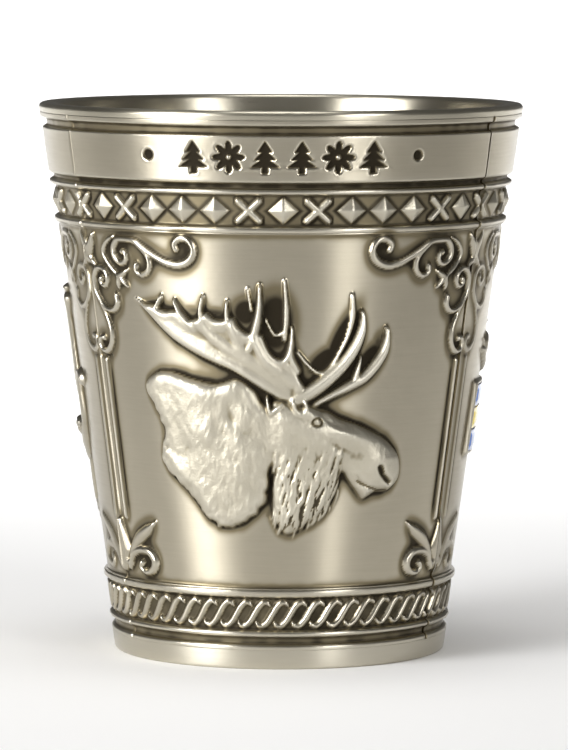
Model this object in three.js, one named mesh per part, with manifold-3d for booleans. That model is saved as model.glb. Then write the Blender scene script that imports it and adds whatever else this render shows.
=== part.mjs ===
// Souvenir shot glass: a thin inner cup, three cast relief panels round it, a base cap under it,
// and the enamel fills of the two flags on the right panel.
//
// Millimetres, +Z up, origin at the middle of the foot. The front panel faces -Y.
// An azimuth is measured round the cup from the front, in degrees, and grows towards +X.

import * as THREE from 'three';
import { mergeVertices } from 'three/addons/utils/BufferGeometryUtils.js';
import Module from 'manifold-3d';

const wasm = await Module();
wasm.setup();

// ---------------------------------------------------------------- driving sizes

const HEIGHT = 55.6;
const BASE_RADIUS = 16.8; // outside of the raised bands, at the table
const RIM_RADIUS = 24.5; // outside of the raised bands, at the top edge

const CUP_WALL = 0.45; // sheet of the inner cup
const CUP_GAP = 0.1; // solder film between the cup and the panels
const PANEL_WALL = 1.35; // panel thickness under a raised band
const SEAM_GAP = 0.1; // between neighbouring panels
const CUP_CORNER = 3; // bend between the cup's wall and its floor

const LIP_HEIGHT = 0.85; // rolled lip of the cup, the upper part of the rim bead
const LIP_OVERHANG = 0.1; // how far the rim bead stands outside the bands
const LIP_GAP = 0.05; // under the lip
const LIP_EDGE = 0.18; // slanted corner on the outside of the lip
const LIP_SHOULDER = 0.4; // slope from the lip's crown down to its outside
const LIP_INSIDE = 0.36; // slope from the lip's crown into the cup
const BEAD_UNDERSIDE = 0.65; // lower part of the rim bead, on the panels

const BASE_CAP_HEIGHT = 1.9;
const BASE_CAP_GAP = 0.05; // between the cap and the panels' lower edge
const BASE_FLOOR = 1.3; // plate of the cap
const BASE_CHAMFER = 0.4;
const BASE_RECESS_DEPTH = 0.5; // dished underside
const BASE_RING_WIDTH = 2.6; // flat ring that the glass stands on
const SPIGOT_HEIGHT = 1.2; // ring of the cap that reaches up inside the panels
const SPIGOT_WALL = 1.1;
const SPIGOT_GAP = 0.1;

const GROUND_DEPTH = 0.4; // picture ground below the raised bands
const BAND_DEPTH = 0.5; // ground of the rope and lozenge bands
const GROOVE_DEPTH = 0.5;
const EDGE_SLOPE = 0.12; // height taken by each step in the wall

// Levels counted up from the table.
const PLINTH_HEIGHT = 2.5;
const FOOT_GROOVE = 0.78;
const FOOT_LINE = 0.62;
const ROPE_BAND = 3.4;
const ROPE_LINE = 0.85;

// Levels counted down from the top edge.
const RIM_GROOVE = 0.82;
const SMOOTH_BAND = 4.73;
const SMOOTH_GROOVE = 0.57;
const LOZENGE_TOP_LINE = 0.57;
const LOZENGE_BAND = 3.13;
const LOZENGE_LINE = 0.7;

const PANELS = 3;
const FACETS_PER_PANEL = 12;
const SINK = 0.25; // how deep a relief is rooted in the wall
const PAST_WALL = 12; // how far cutting shapes reach outside the rim

// ---------------------------------------------------------------- derived sizes

const PANEL_ANGLE = 360 / PANELS;
const HALF_PANEL = PANEL_ANGLE / 2;
const FACETS = FACETS_PER_PANEL * PANELS;

const plinthTop = PLINTH_HEIGHT;
const footGrooveTop = plinthTop + FOOT_GROOVE;
const ropeBottom = footGrooveTop + FOOT_LINE;
const ropeTop = ropeBottom + ROPE_BAND;
const fieldBottom = ropeTop + ROPE_LINE;

const panelTop = HEIGHT - LIP_HEIGHT - LIP_GAP;
const beadBottom = HEIGHT - LIP_HEIGHT - BEAD_UNDERSIDE;
const rimGrooveBottom = beadBottom - RIM_GROOVE;
const smoothBottom = rimGrooveBottom - SMOOTH_BAND;
const smoothGrooveBottom = smoothBottom - SMOOTH_GROOVE;
const lozengeTop = smoothGrooveBottom - LOZENGE_TOP_LINE;
const lozengeBottom = lozengeTop - LOZENGE_BAND;
const fieldTop = lozengeBottom - LOZENGE_LINE;
const fieldMiddle = (fieldBottom + fieldTop) / 2;

const panelBottom = BASE_CAP_HEIGHT + BASE_CAP_GAP;
const cupBottom = BASE_CAP_HEIGHT + SPIGOT_HEIGHT + CUP_GAP;

const radians = THREE.MathUtils.degToRad;

// Radius of the outer cone, offset outwards from the raised bands.
function cone(z, offset = 0) {
  return BASE_RADIUS + ((RIM_RADIUS - BASE_RADIUS) * z) / HEIGHT + offset;
}

const panelInside = (z) => cone(z, -PANEL_WALL);
const cupOutside = (z) => cone(z, -PANEL_WALL - CUP_GAP);
const cupInside = (z) => cone(z, -PANEL_WALL - CUP_GAP - CUP_WALL);

// ---------------------------------------------------------------- solids

function toSolid(geometry) {
  const bare = geometry.index ? geometry.toNonIndexed() : geometry.clone();
  bare.deleteAttribute('normal');
  bare.deleteAttribute('uv');
  const merged = mergeVertices(bare, 1e-4);
  const mesh = new wasm.Mesh({
    numProp: 3,
    vertProperties: new Float32Array(merged.attributes.position.array),
    triVerts: new Uint32Array(merged.index.array),
  });
  return new wasm.Manifold(mesh);
}

function toGeometry(solid) {
  const mesh = solid.getMesh();
  const geometry = new THREE.BufferGeometry();
  geometry.setAttribute('position', new THREE.BufferAttribute(new Float32Array(mesh.vertProperties), 3));
  geometry.setIndex(new THREE.BufferAttribute(new Uint32Array(mesh.triVerts), 1));
  geometry.computeVertexNormals();
  return geometry;
}

function join(solids) {
  return solids.reduce((sum, solid) => sum.add(solid));
}

// A full ring or pot turned round +Z from [radius, z] points, outer side rising.
// The facets' corners fall on the seams between the panels.
function turned(points) {
  const profile = points.map(([radius, z]) => new THREE.Vector2(radius, z));
  const geometry = new THREE.LatheGeometry(profile, FACETS);
  geometry.rotateX(Math.PI / 2);
  return toSolid(geometry);
}

// A prism of an [x, z] outline that faces outwards at an azimuth, from the axis to past the wall.
function prism(outline, azimuth = 0) {
  const shape = new THREE.Shape(outline.map(([x, z]) => new THREE.Vector2(x, z)));
  const geometry = new THREE.ExtrudeGeometry(shape, { depth: RIM_RADIUS + PAST_WALL, bevelEnabled: false });
  geometry.rotateX(Math.PI / 2);
  geometry.rotateZ(radians(azimuth));
  return toSolid(geometry);
}

// A thin ring that follows the wall between two heights and two offsets from the bands.
function wallLayer(bottom, top, low, high) {
  return turned([
    [cone(bottom, low), bottom],
    [cone(bottom, high), bottom],
    [cone(top, high), top],
    [cone(top, low), top],
    [cone(bottom, low), bottom],
  ]);
}

// The layer of the picture field between two offsets from its ground.
function fieldLayer(low, high) {
  return wallLayer(fieldBottom - EDGE_SLOPE, fieldTop + EDGE_SLOPE, low - GROUND_DEPTH, high - GROUND_DEPTH);
}

// A flat-faced relief: the outline, measured from the middle of the field, raised by lift.
function boss(outline, lift, azimuth = 0) {
  const placed = outline.map(([x, z]) => [x, z + fieldMiddle]);
  return fieldLayer(-SINK, lift).intersect(prism(placed, azimuth));
}

function rectangle(left, right, bottom, top) {
  return [[left, bottom], [right, bottom], [right, top], [left, top]];
}

// A point on the wall: distance along the wall from an azimuth, height, offset from the bands.
function onWall(azimuth, along, z, offset) {
  const radius = cone(z, offset);
  const angle = radians(azimuth) + along / radius;
  return new THREE.Vector3(radius * Math.sin(angle), -radius * Math.cos(angle), z);
}

const BAR_OVERLAP = 0.8; // of the bar's half width

// Straight bars set end to end along a smooth curve through points on the wall, each rooted in the
// wall and raised by lift. Neighbouring bars overlap so that bends stay closed.
function bars(points, halfWidth, lift, count) {
  const curve = new THREE.CatmullRomCurve3(points, false, 'centripetal');
  const pieces = [];
  for (let i = 0; i < count; i += 1) {
    const start = curve.getPoint(i / count);
    const end = curve.getPoint((i + 1) / count);
    const middle = start.clone().add(end).divideScalar(2);
    const along = end.clone().sub(start);
    const overlap = count > 1 ? halfWidth * BAR_OVERLAP : 0;
    const bar = new THREE.BoxGeometry(halfWidth * 2, along.length() + overlap, lift + SINK);
    const outwards = new THREE.Vector3(middle.x, middle.y, 0).normalize();
    const side = along.normalize().clone().cross(outwards).normalize();
    outwards.crossVectors(side, along);
    bar.applyMatrix4(new THREE.Matrix4().makeBasis(side, along, outwards));
    middle.addScaledVector(outwards, (lift - SINK) / 2);
    bar.translate(middle.x, middle.y, middle.z);
    pieces.push(toSolid(bar));
  }
  return pieces;
}

// A small solid set on the wall with its own +Z pointing outwards and its +Y pointing up.
function setOnWall(geometry, azimuth, z, offset) {
  const place = new THREE.Matrix4().makeRotationZ(radians(azimuth));
  place.multiply(new THREE.Matrix4().makeTranslation(0, -cone(z, offset), z));
  place.multiply(new THREE.Matrix4().makeRotationX(Math.PI / 2));
  const placed = geometry.clone();
  placed.applyMatrix4(place);
  return toSolid(placed);
}

// ---------------------------------------------------------------- inner cup and base cap

const BEND_ANGLES = [-90, -60, -30, 0]; // from the floor round to the wall

// Points of the bend between the cup's floor and one face of its wall, rising.
function bend(wall, floor, radius) {
  const centreRadius = wall(floor + radius) - radius;
  const centreHeight = floor + radius;
  return BEND_ANGLES.map(radians).map((angle) => [
    centreRadius + radius * Math.cos(angle),
    centreHeight + radius * Math.sin(angle),
  ]);
}

function makeInnerCup() {
  const lipRadius = cone(HEIGHT, LIP_OVERHANG);
  const lipBottom = HEIGHT - LIP_HEIGHT;
  const floorTop = cupBottom + CUP_WALL;
  return turned([
    [0, cupBottom],
    ...bend(cupOutside, cupBottom, CUP_CORNER + CUP_WALL),
    [cupOutside(lipBottom), lipBottom],
    [lipRadius - LIP_EDGE, lipBottom],
    [lipRadius, lipBottom + LIP_EDGE],
    [lipRadius - LIP_EDGE, HEIGHT - LIP_EDGE],
    [lipRadius - LIP_EDGE - LIP_SHOULDER, HEIGHT],
    [cupInside(HEIGHT) + LIP_INSIDE, HEIGHT],
    [cupInside(HEIGHT - LIP_INSIDE), HEIGHT - LIP_INSIDE],
    ...bend(cupInside, floorTop, CUP_CORNER).reverse(),
    [0, floorTop],
  ]);
}

function makeBaseCap() {
  const spigotTop = BASE_CAP_HEIGHT + SPIGOT_HEIGHT;
  const spigotOutside = panelInside(BASE_CAP_HEIGHT) - SPIGOT_GAP;
  const spigotInside = spigotOutside - SPIGOT_WALL;
  const ringInside = BASE_RADIUS - BASE_CHAMFER - BASE_RING_WIDTH;
  return turned([
    [0, BASE_RECESS_DEPTH],
    [ringInside - BASE_RECESS_DEPTH, BASE_RECESS_DEPTH],
    [ringInside, 0],
    [BASE_RADIUS - BASE_CHAMFER, 0],
    [cone(BASE_CHAMFER), BASE_CHAMFER],
    [cone(BASE_CAP_HEIGHT), BASE_CAP_HEIGHT],
    [spigotOutside, BASE_CAP_HEIGHT],
    [spigotOutside, spigotTop],
    [spigotInside, spigotTop],
    [spigotInside, BASE_RECESS_DEPTH + BASE_FLOOR],
    [0, BASE_RECESS_DEPTH + BASE_FLOOR],
  ]);
}

// ---------------------------------------------------------------- bands of a relief panel

// Ring shared by all three panels: smooth bands, raised lines, grooves and recessed grounds.
function makeBandRing() {
  const outline = [[cone(panelBottom), panelBottom]];
  const step = (z, from, to) => {
    outline.push([cone(z - EDGE_SLOPE / 2, from), z - EDGE_SLOPE / 2]);
    outline.push([cone(z + EDGE_SLOPE / 2, to), z + EDGE_SLOPE / 2]);
  };
  step(plinthTop, 0, -GROOVE_DEPTH);
  step(footGrooveTop, -GROOVE_DEPTH, 0);
  step(ropeBottom, 0, -BAND_DEPTH);
  step(ropeTop, -BAND_DEPTH, 0);
  step(fieldBottom, 0, -GROUND_DEPTH);
  step(fieldTop, -GROUND_DEPTH, 0);
  step(lozengeBottom, 0, -BAND_DEPTH);
  step(lozengeTop, -BAND_DEPTH, 0);
  step(smoothGrooveBottom, 0, -GROOVE_DEPTH);
  step(smoothBottom, -GROOVE_DEPTH, 0);
  step(rimGrooveBottom, 0, -GROOVE_DEPTH);
  step(beadBottom, -GROOVE_DEPTH, 0);
  outline.push([cone(panelTop, LIP_OVERHANG), panelTop]);
  outline.push([panelInside(panelTop), panelTop]);
  outline.push([panelInside(panelBottom), panelBottom]);
  outline.push(outline[0]);
  return turned(outline);
}

// Straight-sided block from the axis outwards that keeps one panel and its half of each seam gap.
function makePanelWedge() {
  const reach = (RIM_RADIUS + PAST_WALL) / Math.cos(radians(HALF_PANEL));
  const half = radians(HALF_PANEL);
  const tip = SEAM_GAP / 2 / Math.sin(half);
  const shape = new THREE.Shape([
    new THREE.Vector2(0, -tip),
    new THREE.Vector2(reach * Math.sin(half), -tip - reach * Math.cos(half)),
    new THREE.Vector2(0, -tip - reach),
    new THREE.Vector2(-reach * Math.sin(half), -tip - reach * Math.cos(half)),
  ]);
  return toSolid(new THREE.ExtrudeGeometry(shape, { depth: HEIGHT, bevelEnabled: false }));
}

const ROPE_STRANDS = 20; // per panel
const STRAND_HALF_WIDTH = 0.4;
const STRAND_LEAN = 1.7; // how far a strand's top lies to the right of its foot
const STRAND_LIFT = 0.35;
const STRAND_END_GAP = 0.24; // between a strand's end and the band's edge

// Slanting strands, evenly spaced.
function makeRope() {
  const pitch = PANEL_ANGLE / ROPE_STRANDS;
  const strands = [];
  for (let i = 0; i < ROPE_STRANDS; i += 1) {
    const azimuth = -HALF_PANEL + (i + 0.5) * pitch;
    const foot = onWall(azimuth, -STRAND_LEAN / 2, ropeBottom + STRAND_END_GAP, -BAND_DEPTH);
    const top = onWall(azimuth, STRAND_LEAN / 2, ropeTop - STRAND_END_GAP, -BAND_DEPTH);
    strands.push(...bars([foot, top], STRAND_HALF_WIDTH, STRAND_LIFT, 1));
  }
  return join(strands);
}

const LOZENGE_PITCHES = 14; // per panel, with a lozenge on the middle
const CROSS_PLACES = [-7, -5, -1, 1, 5, 7]; // the places that hold a cross instead
const LOZENGE_HALF = 1.42;
const LOZENGE_RISE = 0.65;
const CROSS_BAR_WIDTH = 0.6;
const CROSS_BAR_LENGTH = 2.9;
const CROSS_BAR_DEPTH = 0.9; // half of it stands above the band's ground

// Four-sided pyramids and diagonal crosses in the upper band.
function makeLozenges() {
  const pitch = PANEL_ANGLE / LOZENGE_PITCHES;
  const middle = (lozengeBottom + lozengeTop) / 2;
  const height = LOZENGE_RISE + SINK;
  const pyramid = new THREE.ConeGeometry(LOZENGE_HALF * (height / LOZENGE_RISE), height, 4);
  pyramid.rotateX(Math.PI / 2);
  pyramid.translate(0, 0, height / 2 - SINK);
  const bar = new THREE.BoxGeometry(CROSS_BAR_WIDTH, CROSS_BAR_LENGTH, CROSS_BAR_DEPTH);
  const pieces = [];
  for (let place = -LOZENGE_PITCHES / 2; place <= LOZENGE_PITCHES / 2; place += 1) {
    const azimuth = place * pitch;
    if (CROSS_PLACES.includes(place)) {
      for (const slant of [-45, 45]) {
        const turnedBar = bar.clone().rotateZ(radians(slant));
        pieces.push(setOnWall(turnedBar, azimuth, middle, -BAND_DEPTH));
      }
    } else {
      pieces.push(setOnWall(pyramid, azimuth, middle, -BAND_DEPTH));
    }
  }
  return join(pieces);
}

// ---------------------------------------------------------------- corner ornaments

const ORNAMENT_LIFT = 0.35;
const ORNAMENT_TURN = 14; // the ornaments face this much nearer the panel's middle than its seam
const SCROLL_HALF_WIDTH = 0.3;
const ROD_HALF_WIDTH = 0.25;
const ROD_FROM_SEAM = 1.15;
const ROD_TOP_DROP = 12.9; // top of the rod below the top of the field
const ROD_FOOT_RISE = 6.3; // foot of the rod above the bottom of the field

// Each scroll is a spiral and the stem that leaves it, in [distance from the seam, drop below the
// top of the field]. It is made of a number of bars.
const SPIRAL_INNER_RADIUS = 0.5;
const SPIRAL_OUTER_RADIUS = 1.5;
const UPPER_SCROLL = {
  centre: [5.7, 2.4],
  startAngle: 100,
  endAngle: -270,
  stem: [[7.5, 0.9], [9.9, 2.3], [12.8, 3.1], [14.6, 2.1], [14.2, 0.6], [13, 0.7]],
  bars: 12,
};
const LOWER_SCROLL = {
  centre: [2.3, 5.1],
  startAngle: -120,
  endAngle: 185,
  stem: [[0.9, 6.5], [2.5, 9.2], [2.7, 10.9], [1.9, 12.1], [0.7, 11.7]],
  bars: 9,
};
const SPIRAL_STEP = 46; // degrees between two points of a spiral

function scrollPoints({ centre, startAngle, endAngle, stem }) {
  const steps = Math.round(Math.abs(endAngle - startAngle) / SPIRAL_STEP);
  const points = [];
  for (let i = 0; i <= steps; i += 1) {
    const radius = THREE.MathUtils.lerp(SPIRAL_INNER_RADIUS, SPIRAL_OUTER_RADIUS, i / steps);
    const angle = radians(THREE.MathUtils.lerp(startAngle, endAngle, i / steps));
    points.push([centre[0] + radius * Math.cos(angle), centre[1] - radius * Math.sin(angle)]);
  }
  return [...points, ...stem];
}

// The scrolls and the upright rod beside one seam. side is +1 at the panel's right-hand seam.
function makeCorner(side) {
  const place = ([along, drop]) => onWall(side * HALF_PANEL, -side * along, fieldTop - drop, -GROUND_DEPTH);
  const rodFoot = fieldTop - fieldBottom - ROD_FOOT_RISE;
  const rod = [[ROD_FROM_SEAM, ROD_TOP_DROP], [ROD_FROM_SEAM, rodFoot]].map(place);
  const scrolls = [UPPER_SCROLL, LOWER_SCROLL].flatMap((scroll) =>
    bars(scrollPoints(scroll).map(place), SCROLL_HALF_WIDTH, ORNAMENT_LIFT, scroll.bars));
  return join([...scrolls, ...bars(rod, ROD_HALF_WIDTH, ORNAMENT_LIFT, 1)]);
}

// Half of a lily at a bottom corner, its middle petal on the seam. Points are [distance from the
// seam, rise above the bottom of the field].
const LILY_OUTLINE = [
  [-0.5, 0.6], [1, 0.6], [1.7, 1.6], [2.5, 0.8], [4.2, 0.7], [5.2, 2], [4.8, 3.1], [3.6, 3.3], [4.6, 4.1],
  [5.8, 6.2], [3.4, 4.8], [1.7, 2.6], [2.2, 4.8], [1.6, 6], [-0.5, 6],
];

function makeLily(side) {
  const outline = LILY_OUTLINE.map(([along, rise]) => {
    const z = fieldBottom + rise;
    const radius = cone(z, -GROUND_DEPTH);
    return [side * radius * Math.sin(radians(ORNAMENT_TURN) - along / radius), z];
  });
  return fieldLayer(-SINK, ORNAMENT_LIFT).intersect(prism(outline, side * (HALF_PANEL - ORNAMENT_TURN)));
}

// ---------------------------------------------------------------- pictures

// Outlines in [x, z] from the middle of the picture field.

const ANTLER_LIFT = 0.75;
const BACK_TINE_LIFT = 0.4;
const NECK_LIFT = 0.95;
const HEAD_LIFT = 1.25;

const PALM_OUTLINE = [
  [-14, 11.2], [-10.7, 6.9], [-6.5, 4.8], [-3.4, 3.3], [0, 1], [1.6, 0.8], [2.9, 2.2], [1.6, 4.4],
  [0.9, 8.4], [-0.3, 5.4], [-1.5, 5.9], [-2.2, 12.9], [-3, 8.2], [-4.4, 8.6], [-5.5, 10.8],
  [-6, 9.2], [-7.2, 9.5], [-7.9, 11.4], [-8.6, 9.3], [-9.8, 9.3], [-10.7, 10.7], [-12.4, 10.4],
];
const FRONT_BEAM_OUTLINE = [
  [1.4, 0.8], [3.7, 1.8], [6, 3.6], [7.8, 6.2], [8.1, 9.2], [7.6, 10], [6.7, 7.6], [5, 4.8], [2.6, 2.9],
];
const LOW_BEAM_OUTLINE = [
  [2.6, 0.7], [5.8, 1.9], [8.2, 2.7], [10, 4.7], [10.8, 8.4], [10.3, 8.7], [8.6, 4.6], [6.4, 3], [3.4, 1.9],
];
const BACK_TINE_OUTLINES = [
  [[-0.4, 5], [0.5, 5.4], [0.3, 13.3], [-0.1, 13.3]],
  [[3.2, 3.4], [4.2, 3.6], [7.2, 9], [7.1, 12], [6.6, 12], [6.3, 8.4]],
];
const NECK_OUTLINE = [
  [-13.1, 3.1], [-12.2, 3.8], [-8.7, 3.3], [-4.4, 3.5], [-1.4, 1], [1.6, 1], [3.4, -1], [1.2, -5],
  [-1.2, -6.2], [-1.4, -9.2], [-3.5, -10.9], [-5.6, -11.6], [-8, -10], [-11.2, -6.2],
  [-11.6, -2.2], [-13.4, 1.6],
];
const HEAD_OUTLINE = [
  [-1.2, 0.6], [1.6, 1.3], [3.7, 0.9], [5.8, -0.4], [9.6, -2.2], [11.2, -3.8], [11.7, -5.6], [11.3, -7.4],
  [10.2, -8.3], [8.6, -8.2], [7.9, -8.9], [6.9, -7.6], [5.9, -6.2], [5.4, -7.6], [4.4, -9.5], [2.6, -11.2],
  [0.5, -12.2], [-0.6, -10.8], [-1, -6.4], [-2.4, -3],
];

function makeMoose() {
  return [
    boss(PALM_OUTLINE, ANTLER_LIFT),
    boss(FRONT_BEAM_OUTLINE, ANTLER_LIFT),
    boss(LOW_BEAM_OUTLINE, ANTLER_LIFT),
    ...BACK_TINE_OUTLINES.map((outline) => boss(outline, BACK_TINE_LIFT)),
    boss(NECK_OUTLINE, NECK_LIFT),
    boss(HEAD_OUTLINE, HEAD_LIFT),
  ];
}

const SHIP_LIFT = 0.9;
const HULL_OUTLINE = [
  [-11, -2.2], [-7, -3.4], [0, -3.9], [7, -3.4], [11, -2.2],
  [9.6, -6], [6, -8.2], [0, -9], [-6, -8.2], [-9.6, -6],
];
const SAIL_OUTLINE = [
  [-10.4, 10.6], [0, 11.2], [10.4, 10.6], [9.4, 5.6], [10.4, 0], [0, -1], [-10.4, 0], [-9.4, 5.6],
];
const STEM_CURL = [[9.6, -3.6], [11.1, -1.7], [11.6, 0.6], [12.2, 2.2], [13.2, 2.6]];
const STEM_HALF_WIDTH = 0.6;
const STEM_LIFT = 0.7;
const STEM_BARS = 4;
const MAST_LIFT = 1.05;
const MAST_OUTLINE = rectangle(-0.5, 0.5, -4.5, 13.4);

function makeLongship() {
  const curls = [1, -1].flatMap((side) => {
    const points = STEM_CURL.map(([x, z]) => onWall(0, side * x, fieldMiddle + z, -GROUND_DEPTH));
    return bars(points, STEM_HALF_WIDTH, STEM_LIFT, STEM_BARS);
  });
  return [
    boss(HULL_OUTLINE, SHIP_LIFT),
    boss(SAIL_OUTLINE, SHIP_LIFT),
    boss(MAST_OUTLINE, MAST_LIFT),
    ...curls,
  ];
}

const FLAG_WIDTH = 13.6;
const FLAG_HEIGHT = 7.6;
const FLAG_AZIMUTH = 26.5; // middle of each flag, either side of the panel's middle
const FLAG_CENTRE = -1.9; // below the middle of the field
const FLAG_BORDER = 0.45;
const FLAG_BAR = 2.1; // width of the yellow cross
const FLAG_HOIST = 4.1; // blue field between the pole and the cross
const CELL_WALL = 0.2;
const FLAG_LIFT = 0.5;
const CELL_DEPTH = 0.35;
const ENAMEL_GAP = 0.06;
const POLE_HALF_WIDTH = 0.4;
const POLE_TOP = 2.05;
const POLE_FOOT = -10.5;
const CROWN_LIFT = 0.6;
const CROWN_OUTLINE = [
  [-7, 2.2], [7, 2.2], [8.4, 8.2], [5, 5.6], [3, 9.4], [0, 6], [-3, 9.4], [-5, 5.6], [-8.4, 8.2],
];
const LEAF_OUTLINE = [[8.8, 3.2], [11, 2.3], [13, 2.8], [13.4, 4.6], [11.6, 6.2], [9.6, 5.6]];

// The five enamel cells of a flag in its own frame. side is +1 when the pole is on the left.
function flagCells(side) {
  const halfWidth = FLAG_WIDTH / 2 - FLAG_BORDER;
  const halfHeight = FLAG_HEIGHT / 2 - FLAG_BORDER;
  const barLeft = -halfWidth + FLAG_HOIST;
  const barRight = barLeft + FLAG_BAR;
  const bar = FLAG_BAR / 2;
  const fieldEdge = bar + CELL_WALL;
  const cells = {
    blue_upper_hoist: rectangle(-halfWidth, barLeft - CELL_WALL, fieldEdge, halfHeight),
    blue_lower_hoist: rectangle(-halfWidth, barLeft - CELL_WALL, -halfHeight, -fieldEdge),
    blue_upper_fly: rectangle(barRight + CELL_WALL, halfWidth, fieldEdge, halfHeight),
    blue_lower_fly: rectangle(barRight + CELL_WALL, halfWidth, -halfHeight, -fieldEdge),
    yellow_cross: [
      [-halfWidth, -bar], [barLeft, -bar], [barLeft, -halfHeight], [barRight, -halfHeight], [barRight, -bar],
      [halfWidth, -bar], [halfWidth, bar], [barRight, bar], [barRight, halfHeight], [barLeft, halfHeight],
      [barLeft, bar], [-halfWidth, bar],
    ],
  };
  const placed = {};
  for (const [name, outline] of Object.entries(cells)) {
    placed[name] = outline.map(([x, z]) => [side * x, z + FLAG_CENTRE]);
  }
  return placed;
}

// An outline moved inwards by a gap: every corner here is square, so each moves along both axes.
function inset(outline, gap) {
  const points = outline.map(([x, z]) => new THREE.Vector2(x, z));
  const turn = THREE.ShapeUtils.area(points) > 0 ? 1 : -1;
  return points.map((point, i) => {
    const before = points[(i + points.length - 1) % points.length];
    const after = points[(i + 1) % points.length];
    const incoming = point.clone().sub(before).normalize();
    const outgoing = after.clone().sub(point).normalize();
    const inwards = new THREE.Vector2(-incoming.y - outgoing.y, incoming.x + outgoing.x);
    return [point.x + inwards.x * gap * turn, point.y + inwards.y * gap * turn];
  });
}

function makeFlags() {
  const outline = rectangle(
    -FLAG_WIDTH / 2, FLAG_WIDTH / 2, FLAG_CENTRE - FLAG_HEIGHT / 2, FLAG_CENTRE + FLAG_HEIGHT / 2,
  );
  const pieces = [boss(CROWN_OUTLINE, CROWN_LIFT)];
  for (const side of [-1, 1]) {
    pieces.push(boss(outline, FLAG_LIFT, side * FLAG_AZIMUTH));
    pieces.push(boss(LEAF_OUTLINE.map(([x, z]) => [side * x, z]), FLAG_LIFT));
    const poleMiddle = -side * (FLAG_WIDTH / 2);
    const pole = rectangle(poleMiddle - POLE_HALF_WIDTH, poleMiddle + POLE_HALF_WIDTH, POLE_FOOT, POLE_TOP);
    pieces.push(boss(pole, FLAG_LIFT, side * FLAG_AZIMUTH));
  }
  return pieces;
}

function cutFlagCells(panel) {
  const layer = fieldLayer(FLAG_LIFT - CELL_DEPTH, FLAG_LIFT + GROUND_DEPTH);
  let result = panel;
  for (const side of [-1, 1]) {
    for (const outline of Object.values(flagCells(side))) {
      const placed = outline.map(([x, z]) => [x, z + fieldMiddle]);
      result = result.subtract(layer.intersect(prism(placed, side * FLAG_AZIMUTH)));
    }
  }
  return result;
}

function makeEnamel(outline, side) {
  const layer = fieldLayer(FLAG_LIFT - CELL_DEPTH + ENAMEL_GAP, FLAG_LIFT);
  const placed = inset(outline, ENAMEL_GAP).map(([x, z]) => [x, z + fieldMiddle]);
  return layer.intersect(prism(placed, side * FLAG_AZIMUTH));
}

// ---------------------------------------------------------------- assembly

const PEWTER = { color: 0xb0a894, roughness: 0.38, metalness: 1 };
const STEEL = { color: 0xc4bfb2, roughness: 0.28, metalness: 1 };
const BLUE_ENAMEL = { color: 0x2f57a4, roughness: 0.2, metalness: 0 };
const YELLOW_ENAMEL = { color: 0xe3c53a, roughness: 0.2, metalness: 0 };

function named(name, solid, finish) {
  const mesh = new THREE.Mesh(toGeometry(solid), new THREE.MeshStandardMaterial(finish));
  mesh.name = name;
  return mesh;
}

const wedge = makePanelWedge();
const blankPanel = join([
  makeBandRing(), makeRope(), makeLozenges(), makeCorner(-1), makeCorner(1), makeLily(-1), makeLily(1),
]);
const makePanel = (pictures) => join([blankPanel, ...pictures]).intersect(wedge);

const shotGlass = new THREE.Group();
shotGlass.add(named('inner_cup', makeInnerCup(), STEEL));
shotGlass.add(named('base_cap', makeBaseCap(), PEWTER));

const frontPanel = new THREE.Group();
frontPanel.add(named('relief_panel_front', makePanel(makeMoose()), PEWTER));
shotGlass.add(frontPanel);

const leftPanel = new THREE.Group();
leftPanel.rotation.z = radians(-PANEL_ANGLE);
leftPanel.add(named('relief_panel_left', makePanel(makeLongship()), PEWTER));
shotGlass.add(leftPanel);

const rightPanel = new THREE.Group();
rightPanel.rotation.z = radians(PANEL_ANGLE);
rightPanel.add(named('relief_panel_right', cutFlagCells(makePanel(makeFlags())), PEWTER));
for (const [flag, side] of [['near_flag', -1], ['far_flag', 1]]) {
  for (const [cell, outline] of Object.entries(flagCells(side))) {
    const finish = cell.startsWith('yellow') ? YELLOW_ENAMEL : BLUE_ENAMEL;
    rightPanel.add(named(`enamel_${flag}_${cell}`, makeEnamel(outline, side), finish));
  }
}
shotGlass.add(rightPanel);

export default shotGlass;
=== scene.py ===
import math

import bpy
import numpy as np
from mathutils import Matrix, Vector


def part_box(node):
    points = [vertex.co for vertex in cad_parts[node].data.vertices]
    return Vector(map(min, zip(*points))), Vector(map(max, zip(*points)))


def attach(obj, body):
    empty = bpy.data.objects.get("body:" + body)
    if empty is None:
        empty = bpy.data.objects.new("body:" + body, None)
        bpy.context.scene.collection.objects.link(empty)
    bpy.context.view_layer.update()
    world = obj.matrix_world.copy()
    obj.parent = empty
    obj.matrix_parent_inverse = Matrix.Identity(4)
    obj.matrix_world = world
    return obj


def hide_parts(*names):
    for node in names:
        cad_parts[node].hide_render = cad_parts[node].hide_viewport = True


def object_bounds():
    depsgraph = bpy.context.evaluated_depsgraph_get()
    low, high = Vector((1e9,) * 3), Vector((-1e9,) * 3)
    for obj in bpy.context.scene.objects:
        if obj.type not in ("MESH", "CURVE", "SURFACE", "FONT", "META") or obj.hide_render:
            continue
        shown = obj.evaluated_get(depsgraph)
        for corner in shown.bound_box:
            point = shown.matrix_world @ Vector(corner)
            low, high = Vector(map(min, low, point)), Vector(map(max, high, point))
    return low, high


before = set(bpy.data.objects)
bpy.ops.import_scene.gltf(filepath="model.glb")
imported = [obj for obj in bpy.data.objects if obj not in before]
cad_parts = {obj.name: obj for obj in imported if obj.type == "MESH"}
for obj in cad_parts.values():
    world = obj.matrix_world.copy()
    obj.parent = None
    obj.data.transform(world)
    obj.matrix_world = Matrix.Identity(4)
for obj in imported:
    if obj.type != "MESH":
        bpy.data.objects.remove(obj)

CAD_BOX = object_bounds()
MM = 0.001

# ---- sizes, in millimetres
# The overall sizes come from the frame; the rest are the casting's own levels and depths.


def corners_mm(node):
    low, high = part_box(node)
    return np.array(low) / MM, np.array(high) / MM


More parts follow.
